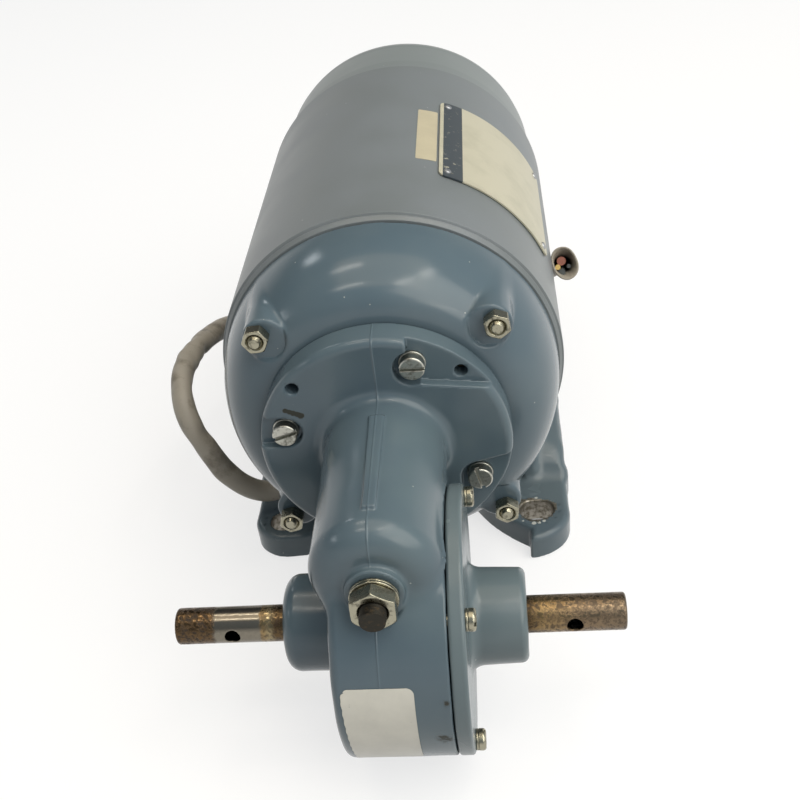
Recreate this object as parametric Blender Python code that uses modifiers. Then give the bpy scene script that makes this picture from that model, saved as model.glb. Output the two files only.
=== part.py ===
"""Right-angle gear motor: a foot-mounted motor that drives a through output shaft by a worm gear.

The motor frame has its origin on the motor axis, in the plane of the tie nuts' front faces:
X to the right along the output shaft, Y to the rear along the motor axis, Z up. Sizes are in
millimetres and become metres where a mesh or a place is made.
"""

import math

import bmesh
import bpy
from mathutils import Matrix, Vector

MM = 0.001
GAP = 0.3  # clearance between pieces that seat on each other

# Facets round one turn
LARGE = 28
CASTING = 24
MEDIUM = 16
SMALL = 12
TINY = 8
THREAD_STEPS = 12

# Motor body
TUBE_RADIUS = 62.5
AXIS_HEIGHT = TUBE_RADIUS + 21.5
TUBE_WALL = 3.5
SEAM_Y = 36.9
SPIGOT_LENGTH = 4.0
SPIGOT_WALL = 1.8
SHIELD_RIM_RADIUS = TUBE_RADIUS - 2.2
SHIELD_FACE_Y = 2.9
SHIELD_FACE_RADIUS = 0.672 * TUBE_RADIUS
SHIELD_WALL = 4.5
SHIELD_ROUNDNESS = 2.2
COVER_FRONT_RADIUS = TUBE_RADIUS - 1.5
COVER_REAR_RADIUS = TUBE_RADIUS - 3.3
COVER_CORNER = 18.0
COVER_LENGTH = 54.5
COVER_WALL = 3.6

# Tie rods
TIE_INSET = 7.3457
TIE_SPACING = (TUBE_RADIUS - TIE_INSET) * math.sqrt(2)
TIE_RADIUS = 2.5
TIE_PROUD = 1.0
TIE_NUT_FLATS = 8.0
TIE_NUT_HEIGHT = 4.4
TIE_BOSS_RADIUS = 5.0
TIE_SPOTFACE_RADIUS = 7.2
TIE_THREAD_DEPTH = 15.0

# Electrical parts
CORE_LENGTH = 90.0
CORE_FRONT_ROOM = 38.1
CORE_REAR_ROOM = 16.0
CORE_BORE_RADIUS = 0.5216 * TUBE_RADIUS
AIR_GAP = 0.6
SLOT_COUNT = 20
SLOT_MOUTH_WIDTH = 2.4
SLOT_TOP_RADIUS = CORE_BORE_RADIUS + 3.0
SLOT_TOP_WIDTH = 6.0
SLOT_ROOT_RADIUS = 0.744 * TUBE_RADIUS
SLOT_ROOT_WIDTH = 8.6
WINDING_OVERHANG = 21.0
WINDING_OUTER_RADIUS = SLOT_ROOT_RADIUS + 2.7
WINDING_INNER_RADIUS = CORE_BORE_RADIUS + 3.8
CAGE_RING_OUTER = CORE_BORE_RADIUS - 2.6
CAGE_RING_INNER = CAGE_RING_OUTER - 12.0
CAGE_RING_WIDTH = 8.0
CAGE_FIN_COUNT = 6
CAGE_FIN_LENGTH = 7.0
CAGE_FIN_THICKNESS = 2.4
CAGE_BAR_COUNT = 10
CAGE_BAR_RADIUS = CORE_BORE_RADIUS - 5.6
CAGE_BAR_DEPTH = 5.0
CAGE_BAR_WIDTH = 3.0

# Motor shaft and its bearings
ROTOR_SEAT_RADIUS = 10.0
SHAFT_NECK_RADIUS = 7.2
FRONT_JOURNAL_RADIUS = 7.5
FRONT_BEARING_Y = 7.7
FRONT_BEARING_WIDTH = 11.0
FRONT_BEARING_OUTER = 17.5
FRONT_BALL_RADIUS = 2.6
FRONT_BALL_COUNT = 6
REAR_JOURNAL_RADIUS = 6.0
REAR_BEARING_SET_BACK = 19.3
REAR_BEARING_WIDTH = 10.0
REAR_BEARING_OUTER = 16.0
REAR_BALL_RADIUS = 2.3
REAR_BALL_COUNT = 6
BEARING_HUB_WALL = 4.5
REAR_SEAT_SHOULDER = 3.8
WAVE_WASHER_THICKNESS = 1.2

# Worm gearing
MODULE = 1.1
WHEEL_TEETH = 55
WORM_PITCH_DIAMETER = 17.0
PRESSURE_ANGLE = math.radians(20.0)
WORM_TOOTH_THICKNESS = 1.35
WHEEL_TOOTH_THICKNESS = 1.45
TIP_RELIEF = 0.1
ROOT_CLEARANCE = 0.3
WORM_FRONT_OVERRUN = 10.0
WORM_REAR_OVERRUN = 15.5
WHEEL_FACE_WIDTH = 13.0
WHEEL_HUB_RADIUS = 12.0
WHEEL_RIM_DEPTH = 5.0
WHEEL_WEB_RECESS = 3.0
WHEEL_HUB_LEFT = -8.7
WHEEL_HUB_RIGHT = 14.5

# Gearbox castings
WHEEL_AXIS_Y = -48.9
FLANGE_RADIUS = 0.6752 * TUBE_RADIUS
FLANGE_THICKNESS = 11.1
FLANGE_EDGE_RADIUS = 2.6
WORM_TUBE_RADIUS = 20.3
WORM_TUBE_WAIST = 19.8
WORM_TUBE_FILLET = 3.0
WORM_BORE_RADIUS = 13.0
NOSE_END_Y = -73.0
NOSE_CORNER = 8.0
NOSE_COLLAR_RADIUS = 8.9
NOSE_COLLAR_HEIGHT = 1.7
NUT_SPOTFACE_RADIUS = 9.4
RIB_WIDTH = 5.0
RIB_HEIGHT = 0.9
RIB_START_Y = -18.0
RIB_END_Y = -62.0
DRUM_RADIUS = 43.0
DRUM_LEFT_X = -15.0
DRUM_CORNER = 3.0
CAVITY_RADIUS = 33.0
CAVITY_LEFT_X = -10.5
JOINT_X = 18.8
COVER_PLATE_THICKNESS = 5.0
COVER_REGISTER = 2.4
LEFT_BOSS_END_X = -35.8
LEFT_BOSS_RADIUS = 15.2
RIGHT_BOSS_END_X = 43.4
RIGHT_BOSS_RADIUS = 15.0
RIGHT_BOSS_TAPER = 0.8
BOSS_CORNER = 3.0
BUSH_OUTER_RADIUS = 9.0
SEAL_OUTER_RADIUS = 11.0
SEAL_WIDTH = 4.4
POCKET_DEPTH = 3.3
POCKET_CLEARANCE = 1.5
FLANGE_SCREW_CIRCLE = FLANGE_RADIUS - 8.4
FLANGE_SCREW_ANGLES = (166.0, 70.0, -25.0, -127.0)
FLANGE_HEAD_RADIUS = 4.25
FLANGE_HEAD_HEIGHT = 3.3
FLANGE_SHANK_RADIUS = 2.5
PIN_CIRCLE = FLANGE_RADIUS - 4.2
PIN_ANGLES = (137.3, 45.3)
PIN_RADIUS = 2.0
PIN_LENGTH = 6.0
COVER_SCREW_CIRCLE = 38.5
COVER_SCREW_COUNT = 4
COVER_HEAD_RADIUS = 3.7
COVER_HEAD_HEIGHT = 2.7
COVER_SHANK_RADIUS = 2.0
COVER_SHANK_LENGTH = 13.0
SPRING_WASHER_HEIGHT = 1.0
SLOT_WIDTH = 1.2
SLOT_DEPTH = 1.4

# Worm end bearing and its adjuster
NOSE_JOURNAL_RADIUS = 4.5
NOSE_JOURNAL_LENGTH = 4.6
NOSE_BUSH_RADIUS = 7.2
NOSE_BUSH_LENGTH = 9.4
THRUST_BALL_RADIUS = 2.8
STUD_RADIUS = 4.0
STUD_END_Y = -84.3
LOCK_NUT_FLATS = 13.0
LOCK_NUT_HEIGHT = 5.0
LOCK_WASHER_RADIUS = 7.4
LOCK_WASHER_HEIGHT = 1.3
WORM_SEAL_Y = -5.8
WORM_SEAL_WIDTH = 6.0

# Output shaft
OUTPUT_RADIUS = 6.0
OUTPUT_LEFT_X = -71.0
OUTPUT_RIGHT_X = 74.5
OUTPUT_CHAMFER = 1.0
LEFT_CROSS_HOLE_X = -52.0
RIGHT_CROSS_HOLE_X = 58.2
CROSS_HOLE_RADIUS = 2.5
WHEEL_PIN_RADIUS = 2.0
WHEEL_PIN_X = 10.5

# Foot bracket
BASE_HALF_WIDTH = 64.0
BASE_FRONT_Y = 30.0
BASE_LENGTH = 121.0
PAD_LENGTH = 30.0
PAD_THICKNESS = 11.0
PAD_CORNER = 13.0
PAD_INNER_X = 27.0
RAIL_TOP_Z = 3.5 - TUBE_RADIUS
SADDLE_EDGE_ANGLE = 42.0
WEB_BOTTOM_Z = -TUBE_RADIUS - 8.0
FOOT_SLOT_X = BASE_HALF_WIDTH - 13.2
FOOT_SLOT_INSET = 10.6
FOOT_SLOT_LENGTH = 13.5
FOOT_SLOT_WIDTH = 11.5
BASE_SCREW_X = 25.0
BASE_SCREW_INSET = 45.0
BASE_SCREW_RADIUS = 2.5

# Rating plate, as angles round the tube
PLATE_THICKNESS = 0.6
PLATE_Y = (72.5, 142.0)
PLATE_ANGLES = (20.9, 70.3)

# Motor lead
LEAD_DIAMETER = 8.7
LEAD_EXIT_Y = 49.5
LEAD_EXIT_ANGLE = -130.0
GROMMET_RADIUS = 6.7
GROMMET_FLANGE_RADIUS = 8.6
GROMMET_FLANGE_THICKNESS = 2.5
LEAD_ROUTE = (
    (-47.3, 49.5, -56.4),
    (-52.2, 49.3, -62.0),
    (-59.0, 47.6, -62.8),
    (-66.3, 45.0, -57.0),
    (-72.6, 43.0, -47.0),
    (-77.0, 42.5, -35.5),
    (-82.0, 45.0, -25.0),
    (-85.5, 53.0, -17.0),
    (-86.5, 66.0, -13.0),
    (-84.5, 84.0, -14.0),
    (-80.5, 104.0, -19.0),
    (-77.0, 125.0, -29.0),
    (-73.0, 146.0, -45.0),
    (-66.0, 164.0, -61.0),
    (-52.0, 179.0, -74.0),
    (-32.0, 190.0, -79.4),
    (-8.0, 196.0, -79.5),
    (18.0, 199.0, -79.5),
    (41.0, 198.0, -76.5),
    (58.0, 192.0, -67.0),
    (69.0, 180.0, -52.0),
    (72.5, 163.0, -37.0),
    (71.6, 145.0, -24.5),
    (69.9, 126.5, -13.0),
    (68.2, 106.0, 0.0),
)
LEAD_POINT_COUNT = 34
LEAD_ROUTE_TUBE_RADIUS = 62.5

# Values worked out from the sizes above
TUBE_BORE_RADIUS = TUBE_RADIUS - TUBE_WALL
TUBE_LENGTH = CORE_FRONT_ROOM + CORE_LENGTH + CORE_REAR_ROOM
TUBE_END_Y = SEAM_Y + TUBE_LENGTH
REAR_BEARING_Y = TUBE_END_Y + REAR_BEARING_SET_BACK
CORE_START_Y = SEAM_Y + CORE_FRONT_ROOM
COVER_END_Y = TUBE_END_Y + COVER_LENGTH
CORE_END_Y = CORE_START_Y + CORE_LENGTH
TIE_PLANE_Y = TIE_NUT_HEIGHT + GAP
TIE_CENTRES = [(x * TIE_SPACING / 2, z * TIE_SPACING / 2) for x in (-1, 1) for z in (-1, 1)]
ROTOR_RADIUS = CORE_BORE_RADIUS - AIR_GAP
FLANGE_REAR_Y = SHIELD_FACE_Y - GAP
FLANGE_FRONT_Y = FLANGE_REAR_Y - FLANGE_THICKNESS
REGISTER_RADIUS = WORM_BORE_RADIUS + 2.5
WORM_PITCH_RADIUS = WORM_PITCH_DIAMETER / 2
WHEEL_PITCH_RADIUS = MODULE * WHEEL_TEETH / 2
WHEEL_AXIS_Z = -(WORM_PITCH_RADIUS + WHEEL_PITCH_RADIUS)
WORM_LEAD = math.pi * MODULE
WORM_OUTER_RADIUS = WORM_PITCH_RADIUS + MODULE - TIP_RELIEF
WHEEL_OUTER_RADIUS = WHEEL_PITCH_RADIUS + MODULE - TIP_RELIEF
WORM_ROOT_RADIUS = WORM_PITCH_RADIUS - MODULE - ROOT_CLEARANCE
WHEEL_ROOT_RADIUS = WHEEL_PITCH_RADIUS - MODULE - ROOT_CLEARANCE
WORM_FRONT_Y = WHEEL_AXIS_Y - WORM_FRONT_OVERRUN
WORM_REAR_Y = WHEEL_AXIS_Y + WORM_REAR_OVERRUN
COVER_FACE_X = JOINT_X + GAP / 2 + COVER_PLATE_THICKNESS
POCKET_FLOOR_Y = FLANGE_FRONT_Y + POCKET_DEPTH
BASE_REAR_Y = BASE_FRONT_Y + BASE_LENGTH
FRAME_CENTRE_X = (OUTPUT_LEFT_X + OUTPUT_RIGHT_X) / 2
FRAME_CENTRE_Y = (WHEEL_AXIS_Y - DRUM_RADIUS + COVER_END_Y) / 2

# Turns that lay a shape modelled along Z on the X axis or the Y axis
ALONG = {
    "X": Matrix.Rotation(math.pi / 2, 4, "Y"),
    "Y": Matrix.Rotation(-math.pi / 2, 4, "X"),
    "Z": Matrix.Identity(4),
}


def clear_scene():
    """Remove every object, so the model starts from an empty scene."""
    for obj in list(bpy.data.objects):
        bpy.data.objects.remove(obj, do_unlink=True)


def new_collection(name):
    """Add a collection to the scene."""
    group = bpy.data.collections.new(name)
    bpy.context.scene.collection.children.link(group)
    return group


clear_scene()
PARTS = new_collection("gear_motor")
CUTTERS = new_collection("cutters")


def empty(name, place, parent=None):
    """Add an empty that carries the pieces of one frame or one joint axis."""
    obj = bpy.data.objects.new(name, None)
    obj.location = Vector(place) * MM
    obj.parent = parent
    PARTS.objects.link(obj)
    return obj


FRAME = empty("motor_frame", (-FRAME_CENTRE_X, -FRAME_CENTRE_Y, AXIS_HEIGHT))
ROTOR_AXIS = empty("rotor_axis", (0, 0, 0), FRAME)
OUTPUT_AXIS = empty("output_axis", (0, WHEEL_AXIS_Y, WHEEL_AXIS_Z), FRAME)


def material(name, colour, roughness, metallic=0.0):
    """Make a plain surface from a linear colour, a roughness and a metallic value."""
    made = bpy.data.materials.new(name)
    made.use_nodes = True
    shader = made.node_tree.nodes["Principled BSDF"]
    shader.inputs["Base Color"].default_value = (*colour, 1.0)
    shader.inputs["Roughness"].default_value = roughness
    shader.inputs["Metallic"].default_value = metallic
    made.diffuse_color = (*colour, 1.0)
    return made


ENAMEL = material("blue_grey_enamel", (0.11, 0.15, 0.18), 0.25)
ENAMEL_LIGHT = material("satin_grey_enamel", (0.26, 0.30, 0.33), 0.45)
STEEL = material("ground_steel", (0.45, 0.40, 0.33), 0.35, 1.0)
ZINC = material("zinc_plated_steel", (0.62, 0.61, 0.56), 0.3, 1.0)
DARK_STEEL = material("oxidised_steel", (0.08, 0.075, 0.07), 0.55, 1.0)
BRONZE = material("bronze", (0.45, 0.26, 0.10), 0.35, 1.0)
LAMINATION = material("lamination_steel", (0.20, 0.20, 0.21), 0.5, 1.0)
COPPER = material("enamelled_copper", (0.45, 0.14, 0.05), 0.4, 0.7)
CAST_ALUMINIUM = material("cast_aluminium", (0.55, 0.56, 0.57), 0.5, 1.0)
BLACK_RUBBER = material("black_rubber", (0.015, 0.015, 0.015), 0.7)
PLATE = material("printed_aluminium", (0.57, 0.55, 0.43), 0.45)
SLEEVE = material("grey_pvc_sleeve", (0.27, 0.25, 0.21), 0.55)


def finish_object(name, mesh, look, parent, cutter):
    """Link a mesh as a named piece, or as a cutter that stays out of the model."""
    obj = bpy.data.objects.new(name, mesh)
    (CUTTERS if cutter else PARTS).objects.link(obj)
    obj.parent = parent or FRAME
    if cutter:
        obj.hide_render = True
        obj.display_type = "WIRE"
    if look:
        mesh.materials.append(look)
    return obj


def shade(mesh, angle=35.0):
    """Shade a round piece smooth, with its corners kept sharp."""
    mesh.shade_smooth()
    mesh.set_sharp_from_angle(angle=math.radians(angle))


def oriented(profile):
    """Order a turned outline so that it runs down its outer side."""
    area = 0.0
    for (r0, h0), (r1, h1) in zip(profile, profile[1:] + profile[:1]):
        area += r0 * h1 - r1 * h0
    return profile if area < 0 else profile[::-1]


def turned(name, profile, axis="Y", at=(0, 0, 0), look=None, parent=None, steps=LARGE, cutter=False):
    """Turn an outline of (radius, height) points about an axis, as one closed solid."""
    points = oriented(list(profile))
    on_axis = [i for i, (r, _) in enumerate(points) if r == 0]
    if on_axis:
        while not (points[0][0] == 0 and points[-1][0] == 0):
            points = points[1:] + points[:1]
    mesh = bpy.data.meshes.new(name)
    edges = [(i, i + 1) for i in range(len(points) - 1)]
    if not on_axis:
        edges.append((len(points) - 1, 0))
    mesh.from_pydata([(r * MM, 0, h * MM) for r, h in points], edges, [])
    obj = finish_object(name, mesh, look, parent, cutter)
    obj.matrix_local = Matrix.Translation(Vector(at) * MM) @ ALONG[axis]
    screw = obj.modifiers.new("turn", "SCREW")
    screw.angle = math.tau
    screw.axis = "Z"
    screw.steps = steps
    screw.render_steps = steps
    screw.use_merge_vertices = True
    screw.merge_threshold = 0.00001
    screw.use_smooth_shade = False
    return obj


def cylinders(name, places, radius, start, end, axis="Y", parent=None, steps=SMALL, look=None, cutter=True):
    """Make one straight cylinder at each place, from start to end along the axis."""
    mesh = bpy.data.meshes.new(name)
    bm = bmesh.new()
    for place in places:
        middle = Vector(place) + ALONG[axis].to_3x3() @ Vector((0, 0, (start + end) / 2))
        matrix = Matrix.Translation(middle * MM) @ ALONG[axis]
        bmesh.ops.create_cone(
            bm, cap_ends=True, segments=steps, radius1=radius * MM, radius2=radius * MM,
            depth=abs(end - start) * MM, matrix=matrix,
        )
    bm.to_mesh(mesh)
    bm.free()
    return finish_object(name, mesh, look, parent, cutter)


def box(name, low, high, parent=None, look=None, cutter=True):
    """Make a box between two corners."""
    mesh = bpy.data.meshes.new(name)
    bm = bmesh.new()
    size = [(b - a) * MM for a, b in zip(low, high)]
    centre = [(a + b) / 2 * MM for a, b in zip(low, high)]
    bmesh.ops.create_cube(bm, size=1.0, matrix=Matrix.Translation(centre) @ Matrix.Diagonal((*size, 1.0)))
    bm.to_mesh(mesh)
    bm.free()
    return finish_object(name, mesh, look, parent, cutter)


def boolean(target, other, operation="DIFFERENCE"):
    """Cut a piece with a cutter, or join the two into one solid."""
    step = target.modifiers.new(other.name, "BOOLEAN")
    step.operation = operation
    step.solver = "EXACT"
    step.object = other


def evaluated_mesh(obj):
    """Read an object's finished mesh in the frame of its parent."""
    bpy.context.view_layer.update()
    graph = bpy.context.evaluated_depsgraph_get()
    mesh = bpy.data.meshes.new_from_object(obj.evaluated_get(graph))
    mesh.transform(obj.matrix_local)
    return mesh


def repeated(single, name, placements, look=None):
    """Replace one modelled piece by numbered copies that share its mesh, one for each placement."""
    mesh = evaluated_mesh(single)
    parent = single.parent
    bpy.data.objects.remove(single, do_unlink=True)
    mesh.name = name
    mesh.materials.clear()
    mesh.materials.append(look)
    shade(mesh)
    for number, placement in enumerate(placements, 1):
        copy = finish_object(f"{name}_{number}", mesh, None, parent, False)
        copy.matrix_local = placement


def flat_outline(name, outlines, axis, start, end, look=None, parent=None, cutter=False):
    """Give closed flat outlines a thickness, from start to end along the axis.

    The outlines lie in the plane square to the axis: (x, z) for Y, (x, y) for Z. A second outline
    inside the first one is a hole.
    """
    curve = bpy.data.curves.new(name, "CURVE")
    curve.dimensions = "2D"
    curve.fill_mode = "BOTH"
    curve.extrude = abs(end - start) / 2 * MM
    for outline in outlines:
        spline = curve.splines.new("POLY")
        spline.points.add(len(outline) - 1)
        for point, (u, v) in zip(spline.points, outline):
            point.co = (u * MM, (-v if axis == "Y" else v) * MM, 0, 1)
        spline.use_cyclic_u = True
    holder = bpy.data.objects.new(name + "_outline", curve)
    bpy.context.scene.collection.objects.link(holder)
    bpy.context.view_layer.update()
    graph = bpy.context.evaluated_depsgraph_get()
    mesh = bpy.data.meshes.new_from_object(holder.evaluated_get(graph))
    bpy.data.objects.remove(holder, do_unlink=True)
    bm = bmesh.new()
    bm.from_mesh(mesh)
    bmesh.ops.remove_doubles(bm, verts=bm.verts, dist=0.00001)
    bmesh.ops.recalc_face_normals(bm, faces=bm.faces)
    bm.to_mesh(mesh)
    bm.free()
    obj = finish_object(name, mesh, look, parent, cutter)
    middle = ALONG[axis].to_3x3() @ Vector((0, 0, (start + end) / 2))
    obj.matrix_local = Matrix.Translation(middle * MM) @ ALONG[axis]
    return obj


def arc(centre, radius, first, last, count):
    """List points on an arc, from the first to the last angle in degrees."""
    points = []
    for i in range(count + 1):
        angle = math.radians(first + (last - first) * i / count)
        points.append((centre[0] + radius * math.cos(angle), centre[1] + radius * math.sin(angle)))
    return points


def polar(radius, angle):
    """Give the point at a radius and an angle in degrees."""
    return radius * math.cos(math.radians(angle)), radius * math.sin(math.radians(angle))


def dome(inner_radius, outer_radius, low, high, count):
    """List the quarter superellipse from the face at low to the rim at high."""
    points = []
    power = 2 / SHIELD_ROUNDNESS
    for i in range(count + 1):
        angle = math.pi / 2 * i / count
        radius = inner_radius + (outer_radius - inner_radius) * math.sin(angle) ** power
        points.append((radius, high - (high - low) * math.cos(angle) ** power))
    return points


def tie_places(y=0.0):
    """List the tie rods' centres at one station along the motor."""
    return [(x, y, z) for x, z in TIE_CENTRES]


def build_front_shield():
    """Make the domed front end shield with its spigot, bearing hub and tie-rod bosses."""
    spigot = TUBE_BORE_RADIUS - GAP
    back = SHIELD_FACE_Y + SHIELD_WALL
    seat = FRONT_BEARING_OUTER + GAP
    hub_end = FRONT_BEARING_Y + FRONT_BEARING_WIDTH + GAP
    outer = dome(SHIELD_FACE_RADIUS, SHIELD_RIM_RADIUS, SHIELD_FACE_Y, SEAM_Y, 5)
    inner = dome(SHIELD_FACE_RADIUS - SHIELD_WALL, spigot - SPIGOT_WALL - 1.0, back, SEAM_Y, 2)
    profile = [(REGISTER_RADIUS + GAP, SHIELD_FACE_Y)] + outer
    profile += [(spigot, SEAM_Y), (spigot, SEAM_Y + SPIGOT_LENGTH)]
    profile += [(spigot - SPIGOT_WALL, SEAM_Y + SPIGOT_LENGTH), (spigot - SPIGOT_WALL, SEAM_Y)]
    profile += inner[::-1]
    profile += [(seat + BEARING_HUB_WALL, back), (seat + BEARING_HUB_WALL, hub_end), (seat, hub_end)]
    profile += [(seat, back), (REGISTER_RADIUS + GAP, back)]
    shield = turned("front_shield", profile, look=ENAMEL)
    bosses = cylinders("tie_bosses", tie_places(), TIE_BOSS_RADIUS, TIE_PLANE_Y, SEAM_Y - GAP)
    rim = SHIELD_RIM_RADIUS - 0.2
    outline = [(0, FLANGE_FRONT_Y), (rim, FLANGE_FRONT_Y), (rim, SEAM_Y + 5), (0, SEAM_Y + 5)]
    trim = turned("boss_trim", outline, cutter=True)
    boolean(bosses, trim, "INTERSECT")
    boolean(shield, bosses, "UNION")
    spotfaces = cylinders("spotfaces", tie_places(), TIE_SPOTFACE_RADIUS, FLANGE_FRONT_Y, TIE_PLANE_Y)
    boolean(shield, spotfaces)
    holes = cylinders("tie_holes", tie_places(), TIE_RADIUS + GAP, -1.0, SEAM_Y + 9.0, steps=TINY)
    boolean(shield, holes)
    places = [screw_place(angle) for angle in FLANGE_SCREW_ANGLES]
    thread_radius = FLANGE_SHANK_RADIUS + GAP
    threads = cylinders("shield_threads", places, thread_radius, -3.0, back + 1.0, steps=TINY)
    boolean(shield, threads)
    places = [pin_place(angle) for angle in PIN_ANGLES]
    pin_floor = SHIELD_FACE_Y + 3.2
    pins = cylinders("shield_pin_holes", places, PIN_RADIUS + GAP, -3.0, pin_floor, steps=TINY)
    boolean(shield, pins)
    return shield


def screw_place(angle):
    """Give a flange screw's centre."""
    x, z = polar(FLANGE_SCREW_CIRCLE, angle)
    return x, 0.0, z


def pin_place(angle):
    """Give a locating pin's centre."""
    x, z = polar(PIN_CIRCLE, angle)
    return x, 0.0, z


def build_motor_tube():
    """Make the plain stator tube with its lead hole and the tapped holes for the foot bracket."""
    front = SEAM_Y + GAP
    profile = [(TUBE_BORE_RADIUS, front), (TUBE_RADIUS - 0.6, front), (TUBE_RADIUS, front + 0.6)]
    profile += [(TUBE_RADIUS, TUBE_END_Y), (TUBE_BORE_RADIUS, TUBE_END_Y)]
    tube = turned("motor_tube", profile, look=ENAMEL_LIGHT)
    inside, outside = TUBE_BORE_RADIUS - 4, TUBE_RADIUS + 4
    hole = cylinders("lead_hole", [(0, 0, 0)], GROMMET_RADIUS + GAP, inside, outside, "Z")
    hole.matrix_local = lead_frame()
    boolean(tube, hole)
    inside = 12 - TUBE_BORE_RADIUS
    radius = BASE_SCREW_RADIUS + GAP
    threads = cylinders("tube_threads", base_screw_places(), radius, -TUBE_RADIUS, inside, "Z", steps=TINY)
    boolean(tube, threads)
    return tube


def lead_frame():
    """Give the frame whose Z axis is the lead hole's axis, with its origin on the motor axis."""
    turn = Matrix.Rotation(math.radians(90.0 - LEAD_EXIT_ANGLE), 4, "Y")
    return Matrix.Translation(Vector((0, LEAD_EXIT_Y, 0)) * MM) @ turn


def build_rear_cover():
    """Make the deep rear bell with its bearing hub and the tie rods' tapped bosses."""
    front = TUBE_END_Y + GAP
    spigot = TUBE_BORE_RADIUS - GAP
    corner = arc((COVER_REAR_RADIUS - COVER_CORNER, COVER_END_Y - COVER_CORNER), COVER_CORNER, 90, 0, 4)
    inner_radius = COVER_REAR_RADIUS - COVER_WALL
    inner_corner = arc(
        (inner_radius - COVER_CORNER + COVER_WALL, COVER_END_Y - COVER_CORNER),
        COVER_CORNER - COVER_WALL, 0, 90, 3,
    )
    seat = REAR_BEARING_OUTER + GAP
    seat_end = REAR_BEARING_Y + REAR_BEARING_WIDTH + WAVE_WASHER_THICKNESS + 2 * GAP
    hub_start = REAR_BEARING_Y - GAP
    wall = COVER_END_Y - COVER_WALL
    profile = [(0, COVER_END_Y)] + corner + [(COVER_FRONT_RADIUS, front), (spigot, front)]
    profile += [(spigot, TUBE_END_Y - SPIGOT_LENGTH), (spigot - SPIGOT_WALL, TUBE_END_Y - SPIGOT_LENGTH)]
    profile += [(spigot - SPIGOT_WALL, front + 1.0)] + inner_corner
    profile += [(seat + BEARING_HUB_WALL, wall), (seat + BEARING_HUB_WALL, hub_start), (seat, hub_start)]
    shoulder = seat - REAR_SEAT_SHOULDER
    profile += [(seat, seat_end), (shoulder, seat_end), (shoulder, wall), (0, wall)]
    cover = turned("rear_cover", profile, look=ENAMEL)
    boss_end = TUBE_END_Y + TIE_THREAD_DEPTH + 4.0
    bosses = cylinders("rear_bosses", tie_places(), TIE_RADIUS + 3.0, TUBE_END_Y + 1.0, boss_end)
    end = boss_end + 5
    shape = [(0, 0), (COVER_FRONT_RADIUS - 2.5, 0), (COVER_REAR_RADIUS - 1.5, end), (0, end)]
    boolean(bosses, turned("rear_boss_trim", shape, cutter=True), "INTERSECT")
    boolean(cover, bosses, "UNION")
    tapped = TUBE_END_Y + TIE_THREAD_DEPTH + GAP
    start = TUBE_END_Y - 9.0
    threads = cylinders("rear_threads", tie_places(), TIE_RADIUS + GAP, start, tapped, steps=TINY)
    boolean(cover, threads)
    return cover


def build_tie_rods():
    """Make the four long tie rods and their hexagon nuts."""
    end = TUBE_END_Y + TIE_THREAD_DEPTH
    tip = TIE_RADIUS - 0.6
    profile = [(0, -TIE_PROUD), (tip, -TIE_PROUD), (TIE_RADIUS, 0.6 - TIE_PROUD), (TIE_RADIUS, end),
               (0, end)]
    places = [Matrix.Translation(Vector(place) * MM) for place in tie_places()]
    repeated(turned("tie_rod_blank", profile, steps=TINY), "tie_rod", places, ZINC)
    nut = hexagon_nut("tie_nut_blank", TIE_NUT_FLATS, TIE_RADIUS + GAP, 0.0, TIE_NUT_HEIGHT)
    repeated(nut, "tie_nut", places, ZINC)


def hexagon_nut(name, flats, bore, start, end):
    """Make a hexagon nut about the motor axis."""
    corner = flats / 2 / math.cos(math.radians(30))
    nut = cylinders(name, [(0, 0, 0)], corner, start, end, steps=6, cutter=False)
    boolean(nut, cylinders(name + "_thread", [(0, 0, 0)], bore, start - 1, end + 1, steps=SMALL))
    return nut


def stator_slot(angle):
    """List one stator slot's outline, clockwise from its mouth, about its angle in degrees."""
    half_mouth = SLOT_MOUTH_WIDTH / 2
    corners = [
        (CORE_BORE_RADIUS, -half_mouth), (SLOT_TOP_RADIUS - 1.4, -half_mouth),
        (SLOT_TOP_RADIUS, -SLOT_TOP_WIDTH / 2), (SLOT_ROOT_RADIUS, -SLOT_ROOT_WIDTH / 2),
        (SLOT_ROOT_RADIUS, SLOT_ROOT_WIDTH / 2),
        (SLOT_TOP_RADIUS, SLOT_TOP_WIDTH / 2), (SLOT_TOP_RADIUS - 1.4, half_mouth),
        (CORE_BORE_RADIUS, half_mouth),
    ]
    turn = math.radians(angle)
    return [
        (r * math.cos(turn) - w * math.sin(turn), r * math.sin(turn) + w * math.cos(turn)) for r, w in corners
    ]


def slot_angle(index):
    """Give a slot's angle, set so that no slot lies behind a tie rod."""
    return 360.0 / SLOT_COUNT * (index + 0.5)


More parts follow.
